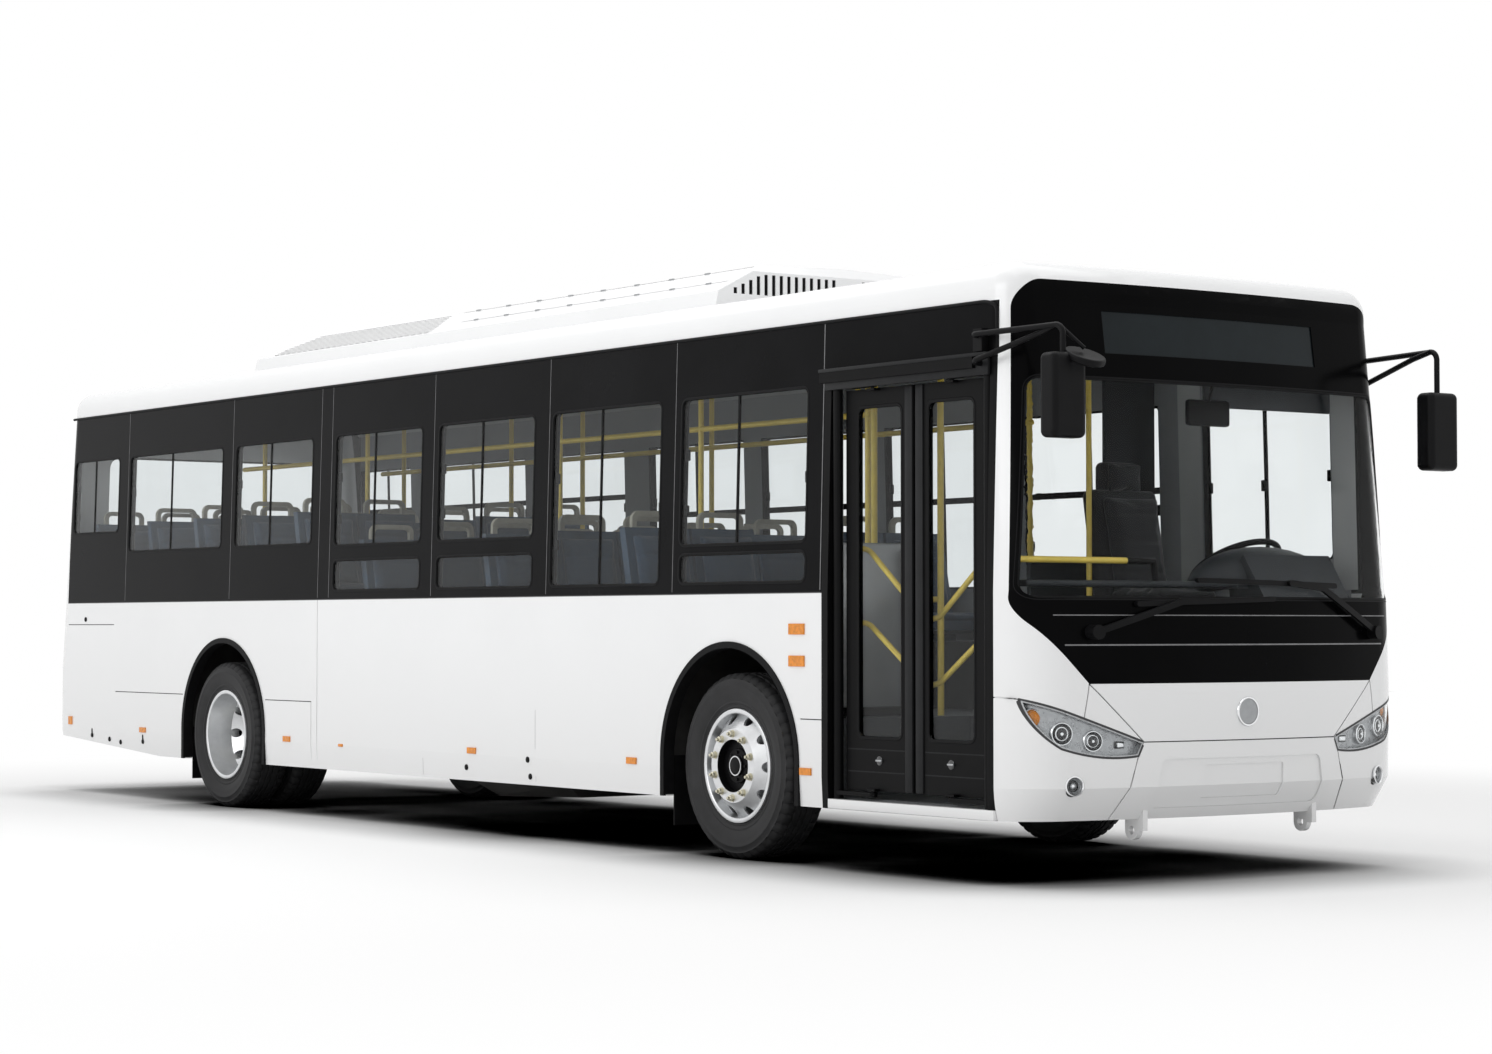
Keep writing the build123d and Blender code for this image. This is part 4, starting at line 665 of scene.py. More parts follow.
# Seams across the dark band, flank seams and the gutter bead
BAND_SEAMS = (-4.505, -2.845, -1.585, -1.437, -0.138, 1.172, 2.449)
for side, word in SIDES:
    seams = Bag()
    for x in BAND_SEAMS:
        ribbon(seams, ((x, 1.395), (x, 2.735)), 0.004, lifted(on_side, 0.0008, side), 0.3)
    ribbon(seams, ((3.768, 1.395), (3.768, 2.735)), 0.006, lifted(on_side, 0.0008, side), 0.3)
    seams.make(f"band_seams_{word}", "seam_grey", 0)
    bead = Bag()
    y = side * (side_y(2.744) + 0.002)
    path = [(-5.49, y, 2.742), (5.03, y, 2.742), (5.108, y, 2.72), (5.112, y - side * 0.001, 2.50)]
    bead.tube(bent(path, 0.06), 0.009, 8)
    bead.make(f"gutter_bead_{word}", "rubber", 40)
    waist = Bag()
    ribbon(
        waist, ((-5.49, 1.383), (3.775 if side < 0 else 5.1, 1.383)), 0.005, lifted(on_side, 0.0006, side),
        0.5,
    )
    waist.make(f"waist_line_{word}", "seam", 0)

FLANK_LINES = (
    ((-5.49, 1.224), (-4.689, 1.224)), ((-4.665, 0.745), (-3.545, 0.745)),
    ((-2.312, 0.730), (-1.665, 0.730)), ((-1.665, 0.31), (-1.665, 0.730)),
    ((-1.585, 0.31), (-1.585, 1.375)), ((3.600, 0.745), (3.775, 0.745)),
)
flank = Bag()
for line in FLANK_LINES:
    ribbon(flank, line, 0.005, lifted(on_side, -0.0045, -1), 0.3)
for line in FLANK_LINES[:5]:
    ribbon(flank, line, 0.004, lifted(on_side, 0.0006, 1), 0.3)
flank.make("flank_seams", "seam", 0)
faint = Bag()
for line in (((1.062, 0.325), (1.062, 0.736)), ((-0.227, 0.320), (-0.227, 0.420))):
    ribbon(faint, line, 0.003, lifted(on_side, 0.0006, -1), 0.3)
faint.make("faint_seams", "trim_grey", 0)
marker = Bag()
marker.soft_box((-1.291, -1.2565, 0.454), (-1.235, -1.246, 0.472), 0.003)
marker.make("skirt_marker", "amber", 40)

# Front seams laid in their grooves
FRONT_LINES = (
    ((0.930, 0.945), (0.629, 0.671)), ((0.930, 0.945), (0.960, 0.772)), ((0.660, 0.606), (0.750, 0.312)),
    ((1.222, 0.876), (1.246, 0.880)), ((0.0, 0.671), (0.629, 0.671)),
)
front_seams = Bag()
for sign in (-1, 1):
    for line in FRONT_LINES:
        ribbon(front_seams, [(sign * y, z) for y, z in line], 0.0045, lifted(on_front, 0.001), 0.015)
front_seams.make("front_seams", "seam", 0)
mask_lines = Bag()
ribbon(mask_lines, ((-1.10, 1.265), (1.10, 1.265)), 0.005, lifted(on_front, 0.001), 0.03)
ribbon(mask_lines, ((-1.05, 1.126), (1.05, 1.126)), 0.007, lifted(on_front, 0.001), 0.03)
mask_lines.make("mask_lines", "seam_grey", 0)

# Windscreen seal
screen_seal = Bag()
screen = []
for y, z in ((1.150, 2.382), (-1.150, 2.382), (-1.222, 1.345), (1.222, 1.345)):
    screen.append(Vector((y, z, 0)))
loop = bent(screen + screen[:2], 0.07, 8)[1:-1]
loop = [(p.x, p.y) for p in loop]
loop.append(loop[0])
ribbon(screen_seal, loop, 0.020, lifted(on_front, 0.0025), 0.03)
screen_seal.make("windscreen_seal", "rubber", 0)

# Blank round plate on the bonnet
plate = Bag()
spot = on_front(0.0, 0.806)
plate.lathe(((0.0, 0.006), (0.060, 0.006), (0.0605, 0.003)), spot, (1, 0, 0), 48)
plate.make("round_plate", "disc", 30)
rim = Bag()
rim.lathe(
    ((0.0605, 0.003), (0.0620, 0.0085), (0.0690, 0.0085), (0.0720, 0.004), (0.0720, -0.004)), spot,
    (1, 0, 0), 48,
)
rim.make("round_plate_rim", "chrome", 40)


# Headlamp bowls behind the clear lens, and the dark line round each lens
def arc(a, b, c, steps=12):
    """Flat points from a to c on the circle through a, b and c, without the first."""
    ax, ay, bx, by, cx, cy = *a, *b, *c
    d = 2 * (ax * (by - cy) + bx * (cy - ay) + cx * (ay - by))
    aa, bb, cc = (x * x + y * y for x, y in (a, b, c))
    ux = (aa * (by - cy) + bb * (cy - ay) + cc * (ay - by)) / d
    uy = (aa * (cx - bx) + bb * (ax - cx) + cc * (bx - ax)) / d
    start = atan2(ay - uy, ax - ux)
    sweep = atan2(cy - uy, cx - ux) - start
    middle = atan2(by - uy, bx - ux) - start
    sweep %= 2 * pi
    if middle % (2 * pi) > sweep:
        sweep -= 2 * pi
    radius = hypot(ax - ux, ay - uy)
    turns = [start + sweep * i / steps for i in range(1, steps + 1)]
    return [(ux + radius * cos(t), uy + radius * sin(t)) for t in turns]


LAMP_EDGE = [(1.222, 0.876), (0.629, 0.671), (0.660, 0.606)]
LAMP_EDGE += arc((0.660, 0.606), (0.900, 0.607), (1.070, 0.645))
LAMP_EDGE += arc((1.070, 0.645), (1.165, 0.730), (1.222, 0.876))
BEAMS = ((1.045, 0.714, 0.053), (0.884, 0.678, 0.048))
INDICATOR = (1.154, 0.785)
MARKER = (0.735, 0.658)
FOG = (0.998, 0.472)
lamp_line = Bag()
rings = Bag()
cores = Bag()
bowls = Bag()
amber = Bag()
for sign in (-1, 1):
    ribbon(lamp_line, [(sign * y, z) for y, z in LAMP_EDGE], 0.010, lifted(on_front, 0.0012), 0.02)
    for y, z, radius in BEAMS:
        at = on_front(sign * y, z)
        axis = (1.0, sign * 0.30, 0.0)
        rings.lathe(
            (
                (radius + 0.003, -0.004), (radius + 0.003, 0.012), (radius, 0.0155),
                (radius - 0.004, 0.0155), (radius - 0.006, 0.010),
            ),
            at, axis, 40,
        )
        cores.lathe(
            ((radius - 0.005, 0.012), (radius - 0.010, 0.004), (radius * 0.62, 0.001)), at, axis, 40,
        )
        rings.lathe(
            (
                (radius * 0.64, 0.000), (radius * 0.62, 0.011), (radius * 0.54, 0.013),
                (radius * 0.48, 0.009),
            ),
            at, axis, 40,
        )
        cores.lathe(
            ((0.0, 0.0165), (radius * 0.25, 0.0150), (radius * 0.42, 0.0110), (radius * 0.52, 0.006)), at,
            axis, 32,
        )
        rings.lathe(((0.0, 0.0178), (radius * 0.13, 0.0172), (radius * 0.16, 0.0150)), at, axis, 20)
    at = on_front(sign * INDICATOR[0], INDICATOR[1])
    amber.lathe(
        ((0.0, 0.018), (0.016, 0.0165), (0.030, 0.011), (0.040, 0.002), (0.040, -0.006)), at,
        (1.0, sign * 0.6, 0.0), 32,
    )
    rings.lathe(
        ((0.040, 0.001), (0.043, 0.006), (0.047, 0.003), (0.048, -0.006)), at, (1.0, sign * 0.6, 0.0), 32,
    )
    at = on_front(sign * MARKER[0], MARKER[1])
    cores.soft_box(at + Vector((-0.004, -0.030, -0.017)), at + Vector((0.004, 0.030, 0.017)), 0.004)
    rings.soft_box(at + Vector((0.000, -0.022, -0.011)), at + Vector((0.010, 0.022, 0.011)), 0.004)
    fog = on_front(sign * FOG[0], FOG[1] + 0.061)
    spot = Vector((fog.x - 0.026, sign * FOG[0], FOG[1]))
    axis = (1.0, sign * 0.3, 0.0)
    rings.lathe(((0.0465, 0.010), (0.0470, 0.030), (0.0420, 0.0335), (0.0385, 0.028)), spot, axis, 40)
    bowls.lathe(((0.039, 0.029), (0.036, 0.016), (0.027, 0.006)), spot, axis, 40)
    cores.lathe(((0.027, 0.007), (0.024, 0.000), (0.0, -0.004)), spot, axis, 32)
    rings.lathe(((0.0, 0.018), (0.010, 0.016), (0.015, 0.010), (0.017, -0.004)), spot, axis, 24)
lamp_line.make("lamp_gaskets", "seam", 0)
rings.make("lamp_rings", "chrome", 40)
cores.make("lamp_cores", "bulb", 50)
bowls.make("fog_bowls", "reflector", 50)
amber.make("front_indicators", "amber", 50)

# Door trim: header bead, meeting profiles, grooves and locks
LEAF_FACE = -1.184


def on_leaf(x, z, lift):
    return Vector((x, LEAF_FACE - lift, z))


header = Bag()
header.soft_box((3.775, -1.268, 2.482), (5.085, -1.235, 2.500), 0.004)
header.soft_box((3.800, -1.243, 2.394), (5.070, -1.226, 2.486), 0.003)
header.make("door_header_bead", "profile", 30)
for word, meet, way in (("front", 4.4555, 1), ("rear", 4.4395, -1)):
    body = f"door_leaf_{word}"
    post = meet + way * 0.5385
    trim = Bag()
    edge = sorted((meet + way * 0.004, meet + way * 0.062))
    trim.soft_box((edge[0], LEAF_FACE - 0.009, 0.404), (edge[1], LEAF_FACE + 0.004, 2.386), 0.008)
    trim.make(f"door_meeting_profile_{word}", "profile", 40, body)
    line = Bag()
    for z in (0.605, 0.495):
        edge = sorted((meet + way * 0.07, post - way * 0.012))
        line.box((edge[0], LEAF_FACE - 0.0012, z - 0.003), (edge[1], LEAF_FACE + 0.002, z + 0.003))
    line.make(f"door_grooves_{word}", "profile", 0, body)
    lock = Bag()
    x = meet + way * 0.27
    lock.lathe(
        ((0.0, 0.004), (0.017, 0.005), (0.023, 0.003), (0.024, -0.002)), (x, LEAF_FACE, 0.552), (0, -1, 0),
        28,
    )
    lock.make(f"door_lock_{word}", "bulb", 40, body)
    turn = Bag()
    turn.soft_box((x - 0.020, LEAF_FACE - 0.014, 0.547), (x + 0.026, LEAF_FACE - 0.004, 0.558), 0.004)
    turn.make(f"door_lock_grip_{word}", "reflector", 40, body)
    pane = Bag()
    x0, x1 = sorted((meet + way * 0.092, post - way * 0.092))
    gasket(
        pane, ring_points(x0, x1, 0.660, 2.300, 0.04), 0.010, 0.008, lifted(on_leaf, -0.001),
        lifted(on_leaf, 0.003),
    )
    pane.make(f"door_pane_seal_{word}", "rubber", 50, body)

# Mirror glasses, facing back and down
glasses = Bag()
for y, z in ((-1.240, 2.265), (1.240, 2.185)):
    glasses.soft_box((5.5425, y - 0.084, z - 0.174), (5.5470, y + 0.084, z + 0.174), 0.002)
tilt = Vector((0.4226, 0.0, 0.9063))
glasses.lathe(
    ((0.0, 0.0030), (0.05, 0.0025), (0.084, 0.0010), (0.086, -0.002)),
    Vector((5.645, -1.150, 2.440)) - tilt * 0.018, -tilt, 40,
)
glasses.make("mirror_glasses", "mirror", 40)

# Tail: window seal, lamp sections, lid louvres and reflectors
TAIL = surface_of("rear_panel rear_bumper engine_lid tail_lamps rear_window".split())


def on_tail(y, z, lift=0.0):
    """The point of the rear face at a width and height, lifted off backwards."""
    hit = TAIL.ray_cast(Vector((-8.0, y, z)), Vector((1.0, 0.0, 0.0)))[0]
    if hit is None:
        hit = Vector((-5.7, y, z))
    return Vector((hit.x - lift, y, z))


tail_seal = Bag()
ribbon(tail_seal, ring_points(-0.90, 0.90, 1.83, 2.48, 0.09), 0.026, lifted(on_tail, 0.002), 0.03)
tail_seal.make("rear_window_seal", "rubber", 0)
for key, name, low, high in (
    ("amber", "tail_indicators", 1.175, 1.315), ("disc", "reversing_lamps", 0.835, 0.965),
):
    lamp_part = Bag()
    for y in (-1.030, 1.030):
        ribbon(lamp_part, ((y, low), (y, high)), 0.108, lifted(on_tail, 0.0015), 0.05)
    lamp_part.make(name, key, 0)
reflectors = Bag()
for y in (-1.02, 1.02):
    ribbon(reflectors, ((y - 0.05, 0.535), (y + 0.05, 0.535)), 0.036, lifted(on_tail, 0.002), 0.03)
ribbon(reflectors, ((-0.18, 2.585), (0.18, 2.585)), 0.030, lifted(on_tail, 0.002), 0.03)
reflectors.make("rear_reflectors", "red", 0)
vents = Bag()
for i in range(9):
    z = 0.760 + 0.036 * i
    ribbon(vents, ((-0.60, z), (0.60, z)), 0.016, lifted(on_tail, 0.001), 0.05)
vents.make("lid_louvres", "seam", 0, "engine_lid")
grip = Bag()
spot = on_tail(0.0, 0.700)
grip.soft_box(spot + Vector((-0.012, -0.075, -0.018)), spot + Vector((0.004, 0.075, 0.018)), 0.006)
grip.make("lid_grip", "plastic", 40, "engine_lid")

# White sill under the doors, skirt locks and the bin under the belly
sill = Bag()
sill.soft_box((3.832, -1.2515, 0.306), (5.114, -1.2050, 0.3545), 0.004)
sill.make("door_sill", "white", 30)
SKIRT_LOCKS = (
    (-5.058, 0.422, True), (-4.757, 0.401, False), (-4.568, 0.385, False), (-4.194, 0.400, True),
    (-5.181, 1.262, False), (1.004, 0.354, False), (0.289, 0.382, False), (0.982, 0.450, False),
)
locks = Bag()
for x, z, tall in SKIRT_LOCKS:
    locks.lathe(
        ((0.0, 0.008), (0.012, 0.008), (0.017, 0.005), (0.018, -0.002)), (x, -side_y(z), z), (0, -1, 0), 20,
    )
    if tall:
        locks.soft_box(
            (x - 0.008, -side_y(z) - 0.006, z + 0.014), (x + 0.008, -side_y(z) + 0.002, z + 0.048), 0.003,
        )
locks.make("skirt_locks", "plastic", 40)
belly = Bag()
low = ((0.30, -1.02, 0.205), (1.19, -1.02, 0.235), (1.19, -0.30, 0.235), (0.30, -0.30, 0.205))
high = ((0.16, -1.19, 0.330), (1.28, -1.19, 0.330), (1.28, -0.28, 0.330), (0.16, -0.28, 0.330))
belly.put(low + high, ((0, 1, 2, 3), (4, 5, 6, 7), (0, 1, 5, 4), (1, 2, 6, 5), (2, 3, 7, 6), (3, 0, 4, 7)))
for x in (0.35, 1.10):
    for y in (-1.0, -0.45):
        belly.box((x - 0.03, y - 0.03, 0.32), (x + 0.03, y + 0.03, 0.70))
belly.make("belly_bin", "steel", 0)
tanks = Bag()
for y in (0.62, 0.90):
    tanks.lathe(
        ((0.0, 0.0), (0.10, 0.0), (0.13, 0.03), (0.13, 0.87), (0.10, 0.90), (0.0, 0.90)), (-0.50, y, 0.50),
        (1, 0, 0), 32,
    )
    for x in (-0.30, 0.20):
        tanks.box((x - 0.02, y - 0.02, 0.60), (x + 0.02, y + 0.02, 0.70))
tanks.make("air_tanks", "steel", 40)

# Roof unit: dark slot throats, louvres, seams and clips
throat = Bag()
for sign in (-1, 1):
    for i in range(14):
        y = sign * (0.105 + 0.052 * i)
        top = min(3.150, 3.420 - 0.45 * abs(y))
        throat.box((2.3305, y - 0.0117, 3.0354), (2.3330, y + 0.0117, top - 0.0004))
        for edge in (y - 0.0117, y + 0.0113):
            throat.box((2.3320, edge, 3.0354), (2.3700, edge + 0.0004, top - 0.0004))
throat.make("unit_throats", "seam", 0)
slats = Bag()
trims = Bag()
clips = Bag()


def on_unit(sign, share, x, lift):
    """A point on the sloping side of the roof unit, from its shoulder up to its top edge."""
    y = 0.895 - 0.295 * share
    z = 3.045 + 0.155 * share
    return Vector((x, sign * (y + 0.465 * lift), z + 0.885 * lift))


def stripe(bag, sign, share, wide, ends):
    """A flat strip along the roof unit, just off its sloping side."""
    bag.sheet([[on_unit(sign, s, x, 0.0012) for x in ends] for s in (share, share + wide)])


for sign in (-1, 1):
    for i in range(11):
        share = 0.07 + 0.082 * i
        start = max(-2.93, -3.15 + 2.333 * 0.155 * share + 0.10)
        end = -0.80 - 0.18 * share
        cuts = 26 if i == 0 else 1
        for c in range(cuts):
            a = start + (end - start) * c / cuts
            b = start + (end - start) * (c + (0.72 if cuts > 1 else 1)) / cuts
            wide = 0.022 if i == 0 else 0.013
            stripe(slats, sign, share, wide, (a, b))
    for share, low_x, high_x in ((0.42, -0.60, 2.30), (0.985, -0.85, 2.30)):
        stripe(trims, sign, share, 0.016, (low_x, high_x))
        for i in range(8):
            x = low_x + 0.18 + i * 0.36
            spot = on_unit(sign, share + 0.01, x, 0.0)
            clips.soft_box(
                spot - Vector((0.022, 0.008, 0.006)), spot + Vector((0.022, 0.008, 0.006)), 0.003,
            )
    trims.tube([Vector((x, sign * 0.921, 2.9375)) for x in (-3.15, 2.372)], 0.004, 6)
slats.make("unit_louvres", "seam", 0)
trims.make("unit_seams", "trim_grey", 0)
clips.make("unit_clips", "disc", 30)

# Cabin lining between the windows and under the roof
for side, word, panes in GLAZED:
    lining = Bag()
    stop = 3.76 if side < 0 else 5.05
    xs = sorted({-5.46, stop, *(x for pane in panes for x in pane[:2])})
    zs = sorted({1.15, 2.70, *(z for pane in panes for z in pane[2:])})
    for x0, x1 in zip(xs, xs[1:]):
        for z0, z1 in zip(zs, zs[1:]):
            mid_x = (x0 + x1) / 2
            mid_z = (z0 + z1) / 2
            if any(p[0] < mid_x < p[1] and p[2] < mid_z < p[3] for p in panes):
                continue
            lining.put(
                [on_side(side, x, z, -0.0535) for x, z in ((x0, z0), (x1, z0), (x1, z1), (x0, z1))],
                ((0, 1, 2, 3),),
            )
    lining.make(f"wall_lining_{word}", "lining", 0)
ceiling = Bag()
vault = (
    (-1.150, 2.690), (-1.085, 2.790), (-0.95, 2.848), (-0.5, 2.868), (0.0, 2.872), (0.5, 2.868),
    (0.95, 2.848), (1.085, 2.790), (1.150, 2.690),
)
ceiling.sheet([[Vector((x, y, z)) for y, z in vault] for x in (-5.45, -3.0, 0.0, 3.0, 5.0)])
ceiling.make("ceiling_lining", "ceiling", 60)
strip_lights = Bag()
for y in (-0.42, 0.42):
    strip_lights.soft_box((-5.0, y - 0.05, 2.845), (4.3, y + 0.05, 2.868), 0.008)
strip_lights.make("ceiling_lights", "disc", 30)
floor_skin = Bag()
for side in (-1, 1):
    y0, y1 = sorted((side * 1.197, side * 1.190))
    for x0, x1, low in (
        (-4.56, -3.545, 0.955), (-2.315, -1.56, 0.955), (-1.56, 2.355, 0.755),
        (3.585, 3.76 if side < 0 else 4.95, 0.905),
    ):
        floor_skin.box((x0, y0, low), (x1, y1, 1.15))
floor_skin.make("wall_kick_panels", "lining", 0)

# Seat bows in grey, poles and rails in yellow
SEAT_ROWS = (
    *((x, 0.750, (-0.915, -0.467)) for x in (1.850, 1.100, 0.350, -0.400, -1.150)),
    *((x, 0.750, (0.915, 0.467)) for x in (1.850, 1.100, 0.350, -0.400, -1.150)),
    *((x, 0.950, (-0.915, -0.467)) for x in (-2.050, -2.800, -3.550, -4.300)),
    *((x, 0.950, (0.915, 0.467)) for x in (-2.050, -2.800, -3.550, -4.300)),
    (-5.180, 0.950, (-0.920, -0.460, 0.0, 0.460, 0.920)),
)
if "grab_rails" in nodes:
    bows = nodes["grab_rails"].data
    bows.materials.append(MAT["handle"])
    for polygon in bows.polygons:
        at = polygon.center
        for x, base, places in SEAT_ROWS:
            if abs(at.x - x + 0.068) < 0.016 and base + 1.010 < at.z < base + 1.110:
                polygon.material_index = 1


# Cushions, blown up by a short cloth run
def cushion(size, cap, voxel, keep, channels=()):
    """Points and faces of a crowned pad that lies flat on its underside, with sewn channels across it."""
    mesh = bpy.data.meshes.new("cushion")
    form = block(size, 0.4 * size[2])
    form.to_mesh(mesh)
    form.free()
    made = add("cushion", mesh)

    def settle():
        view = bpy.context.evaluated_depsgraph_get()
        result = bpy.data.meshes.new_from_object(made.evaluated_get(view))
        made.modifiers.clear()
        made.data = result

    remesh = made.modifiers.new("remesh", "REMESH")
    remesh.mode = "VOXEL"
    remesh.voxel_size = voxel
    settle()
    rest = [v.co.copy() for v in made.data.vertices]
    cloth = made.modifiers.new("cloth", "CLOTH")
    cloth.settings.use_pressure = True
    cloth.settings.uniform_pressure_force = 4.0
    cloth.settings.effector_weights.gravity = 0.0
    cloth.point_cache.frame_end = 20
    for step in range(1, 21):
        bpy.context.scene.frame_set(step)
    settle()
    bpy.context.scene.frame_set(1)
    for vert, start in zip(made.data.vertices, rest):
        move = vert.co - start
        if move.length > cap:
            move *= cap / move.length
        vert.co = start + move
        for middle, width, depth in channels:
            dip = depth * exp(-(((vert.co.y - middle) / width) ** 2))
            vert.co.z -= dip * max(0.0, start.z / size[2] + 0.5)
        vert.co.z = max(vert.co.z, -size[2] / 2)
    thin = made.modifiers.new("thin", "DECIMATE")
    thin.ratio = keep
    settle()
    verts = [v.co.copy() for v in made.data.vertices]
    faces = [tuple(f.vertices) for f in made.data.polygons]
    bpy.data.objects.remove(made)
    return verts, faces


def lay(bag, form, foot, along, out, share, lift):
    """Places a cushion on a sloping face: its length runs along, its crown points out."""
    verts, faces = form
    along = Vector(along).normalized()
    out = Vector(out).normalized()
    across = along.cross(out)
    middle = Vector(foot) + along * share + out * lift
    bag.put([middle + across * v.x + along * v.y + out * v.z for v in verts], faces)


back_form = cushion(
    (0.375, 0.455, 0.036), 0.016, 0.008, 0.16, ((-0.06, 0.012, 0.007), (0.10, 0.012, 0.007)),
)
seat_form = cushion(
    (0.375, 0.330, 0.034), 0.016, 0.008, 0.16, ((-0.05, 0.012, 0.006), (0.07, 0.012, 0.006)),
)
pads = Bag()
for x, base, places in SEAT_ROWS:
    for y in places:
        foot = (x + 0.075, y, base + 0.485)
        lay(pads, back_form, foot, (-0.115, 0, 0.527), (0.527, 0, 0.115), 0.275, 0.017)
        lay(pads, seat_form, foot, (0.380, 0, 0.010), (-0.010, 0, 0.380), 0.205, 0.016)
pads.make("seat_pads", "fabric", 60)
driver_back = cushion(
    (0.400, 0.560, 0.050), 0.022, 0.009, 0.4,
    ((-0.15, 0.014, 0.010), (0.02, 0.014, 0.010), (0.17, 0.014, 0.010)),
)
driver_squab = cushion(
    (0.430, 0.430, 0.050), 0.022, 0.009, 0.4, ((-0.08, 0.014, 0.010), (0.08, 0.014, 0.010)),
)
driver_head = cushion((0.225, 0.150, 0.036), 0.016, 0.007, 0.4)
pads = Bag()
lay(pads, driver_back, (4.010, 0.700, 1.300), (-0.120, 0, 0.640), (0.640, 0, 0.120), 0.340, 0.022)
lay(pads, driver_squab, (4.000, 0.700, 1.350), (1, 0, 0), (0, 0, 1), 0.180, 0.022)
lay(pads, driver_head, (3.865, 0.700, 1.920), (0, 0, 1), (1, 0, 0), 0.085, 0.015)
pads.make("driver_pads", "driver", 60)

# Screens and rails by the entrance, the inner mirror, the cab's partition and the cowl on the dash
screen_panel = Bag()
screen_panel.soft_box((3.640, -1.150, 0.80), (3.665, -0.600, 1.640), 0.010)
screen_panel.soft_box((3.665, -0.640, 0.75), (3.735, -0.580, 1.620), 0.028)
screen_panel.make("entrance_screen", "panel", 40)
rails = Bag()
rails.tube(((5.095, -1.12, 1.530), (5.095, -0.40, 1.530)), 0.016, 12)
rails.tube(((3.90, 0.43, 0.92), (3.90, 0.43, 2.86)), 0.015, 12)
rails.tube(((3.93, -0.60, 0.76), (3.93, -0.60, 2.86)), 0.017, 12)
rails.tube(((3.38, -0.60, 1.14), (3.38, -0.60, 2.86)), 0.017, 12)
rails.tube(((3.93, -0.60, 1.35), (3.38, -0.60, 1.35)), 0.015, 12)
rails.make("entrance_rails", "yellow", 40)
inner_mirror = Bag()
inner_mirror.soft_box((5.06, 0.02, 2.200), (5.10, 0.30, 2.330), 0.016)
inner_mirror.tube(((5.09, 0.16, 2.32), (5.14, 0.16, 2.46)), 0.010, 10)
inner_mirror.tube(((5.095, -0.40, 1.530), (5.095, -0.22, 1.530), (5.095, -0.20, 1.40)), 0.019, 12)
inner_mirror.make("inner_mirror", "plastic", 40)
cab = Bag()
cab.soft_box((3.590, 0.800, 0.905), (3.622, 1.165, 2.560), 0.008)
cab.soft_box((3.590, 0.260, 0.905), (3.622, 0.800, 1.560), 0.008)
cab.make("cab_partition", "dash", 30)
pillars = Bag()
for x0, x1 in ((3.800, 3.975), (4.935, 5.100)):
    pillars.put(
        [on_side(1, x, z, -0.0560) for x, z in ((x0, 1.40), (x1, 1.40), (x1, 2.68), (x0, 2.68))],
        ((0, 1, 2, 3),),
    )
pillars.make("cab_pillar_lining", "ceiling", 0)
COWL_AT = Vector((4.950, 0.650, 1.400))
COWL_SIZE = (0.190, 0.490, 0.215)
cowl = Bag()
dome = []
for i in range(9):
    rise = radians(90 * i / 8)
    rim_x = COWL_SIZE[0] * cos(rise)
    rim_y = COWL_SIZE[1] * cos(rise)
    top = COWL_SIZE[2] * sin(rise)
    turns = [2 * pi * j / 32 for j in range(33)]
    dome.append([COWL_AT + Vector((rim_x * cos(t), rim_y * sin(t), top)) for t in turns])
cowl.sheet(dome)
cowl.soft_box((5.065, -1.120, 1.400), (5.200, 0.250, 1.432), 0.010)
cowl.make("dash_cowl", "dash", 60)
visor = Bag()
visor.soft_box((5.000, 0.20, 2.300), (5.020, 1.080, 2.560), 0.006)
visor.make("sun_visor", "dash", 30)

# Floor with a painted contact shadow, light and camera
FLOOR_REACH = 60.0
FLOOR_STEPS = 24
FLOOR_SHADE = 0.98
FADE_START = 5.0
FADE_END = 11.0
# Reach of the painted contact shadow that ambient occlusion darkens into the floor's colour
PAINTED_SHADOW_REACH = 1.0
SKY_LIGHT = 0.67
OVERHEAD_POWER = 455
SIDE_POWER = 470
CAMERA_AT = (16.434, -10.750, 1.214)
CAMERA_YAW = 2.52146
CAMERA_PITCH = 0.03137
CAMERA_LENS = 76.17
ground = Bag()
marks = [-FLOOR_REACH + 2 * FLOOR_REACH * i / FLOOR_STEPS for i in range(FLOOR_STEPS + 1)]
ground.sheet([[Vector((x, y, 0.0)) for x in marks] for y in marks])
ground_mesh = bpy.data.meshes.new("studio_floor")
ground_mesh.from_pydata(ground.verts, [], ground.faces)
ground_object = add("studio_floor", ground_mesh)
studio = bpy.data.materials.new("studio_floor")
studio.use_nodes = True
tree = studio.node_tree
new = tree.nodes.new
link = tree.links.new
tree.nodes.clear()
place = new("ShaderNodeNewGeometry")
reach = new("ShaderNodeVectorMath")
reach.operation = "LENGTH"
link(place.outputs["Position"], reach.inputs[0])
fade = new("ShaderNodeMapRange")
fade.interpolation_type = "SMOOTHSTEP"
fill(fade, From_Min=FADE_START, From_Max=FADE_END)
link(reach.outputs["Value"], fade.inputs["Value"])
pale = new("ShaderNodeBsdfDiffuse")
# Painted shadow: ambient occlusion darkens the floor's colour under and beside the bus, a contact shadow
# painted on top of the one the lamps cast
painted_shadow_occlusion = new("ShaderNodeAmbientOcclusion")
painted_shadow_occlusion.samples = 24
fill(painted_shadow_occlusion, Distance=PAINTED_SHADOW_REACH)
painted_contact_shadow = new("ShaderNodeMapRange")
fill(painted_contact_shadow, From_Min=0.42, From_Max=0.96, To_Max=FLOOR_SHADE)
link(painted_shadow_occlusion.outputs["AO"], painted_contact_shadow.inputs["Value"])
link(painted_contact_shadow.outputs["Result"], pale.inputs["Color"])
glow = new("ShaderNodeEmission")
fill(glow, Strength=1.0)
blend = new("ShaderNodeMixShader")
link(fade.outputs["Result"], blend.inputs["Fac"])
link(pale.outputs[0], blend.inputs[1])
link(glow.outputs[0], blend.inputs[2])
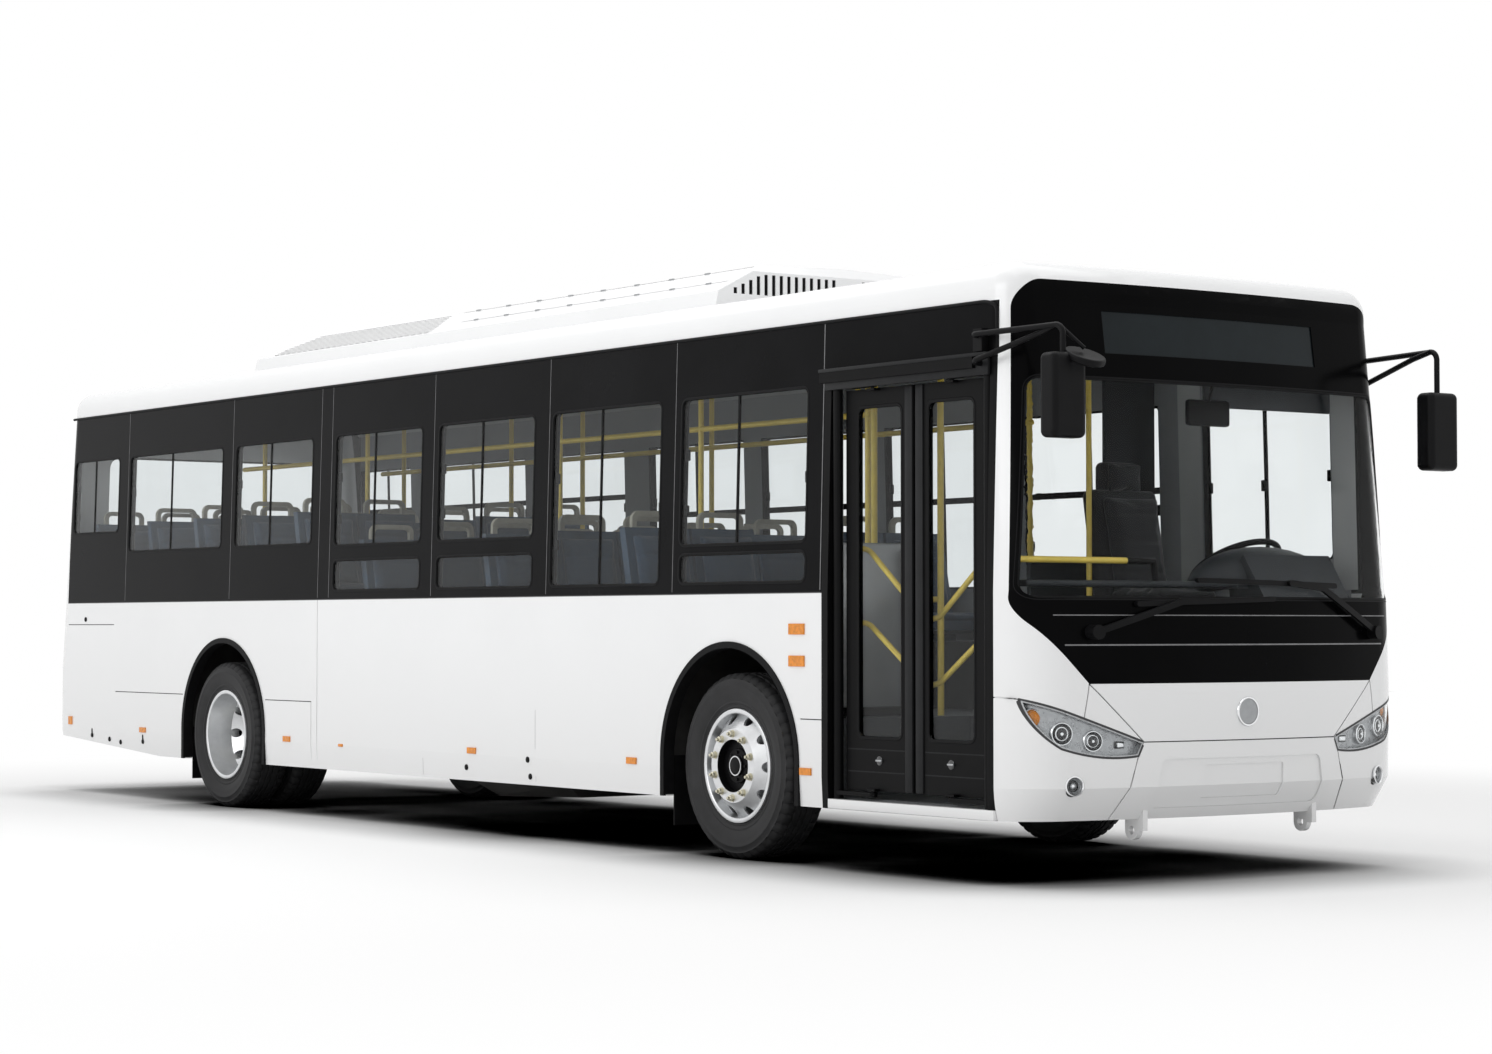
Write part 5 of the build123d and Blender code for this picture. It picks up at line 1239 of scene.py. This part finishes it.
end = new("ShaderNodeOutputMaterial")
link(blend.outputs[0], end.inputs["Surface"])
ground_mesh.materials.append(studio)

world = bpy.data.worlds.new("studio")
bpy.context.scene.world = world
world.use_nodes = True
tree = world.node_tree
new = tree.nodes.new
link = tree.links.new
back = tree.nodes["Background"]
fill(back, Color=(1.0, 1.0, 1.0, 1.0))
path = new("ShaderNodeLightPath")
through = new("ShaderNodeMath")
through.operation = "MAXIMUM"
link(path.outputs["Is Camera Ray"], through.inputs[0])
link(path.outputs["Is Transmission Ray"], through.inputs[1])
seen = new("ShaderNodeMath")
seen.operation = "MAXIMUM"
link(through.outputs[0], seen.inputs[0])
link(path.outputs["Is Glossy Ray"], seen.inputs[1])
level = new("ShaderNodeMapRange")
fill(level, To_Min=SKY_LIGHT, To_Max=1.0)
link(seen.outputs[0], level.inputs["Value"])
link(level.outputs["Result"], back.inputs["Strength"])


def lamp(name, at, aim, power, width, depth):
    data = bpy.data.lights.new(name, "AREA")
    data.shape = "RECTANGLE"
    data.size = width
    data.size_y = depth
    data.energy = power
    made = add(name, data)
    made.location = at
    made.rotation_mode = "QUATERNION"
    made.rotation_quaternion = (Vector(aim) - Vector(at)).to_track_quat("-Z", "Y")


lamp("overhead", (0.0, 0.0, 9.0), (0.0, 0.0, 0.0), OVERHEAD_POWER, 16, 8)
lamp("side_fill", (2.0, -14.0, 6.0), (0.0, 0.0, 1.4), SIDE_POWER, 12, 6)

camera = bpy.data.cameras.new("photo_camera")
camera.sensor_fit = "HORIZONTAL"
camera.sensor_width = 36.0
camera.lens = CAMERA_LENS
camera.clip_end = 300.0
level_part = cos(CAMERA_PITCH)
look = Vector((level_part * cos(CAMERA_YAW), level_part * sin(CAMERA_YAW), sin(CAMERA_PITCH)))
viewer = add("photo_camera", camera)
viewer.location = CAMERA_AT
viewer.rotation_mode = "QUATERNION"
viewer.rotation_quaternion = look.to_track_quat("-Z", "Y")
bpy.context.scene.camera = viewer
bpy.context.scene.view_settings.view_transform = "Standard"
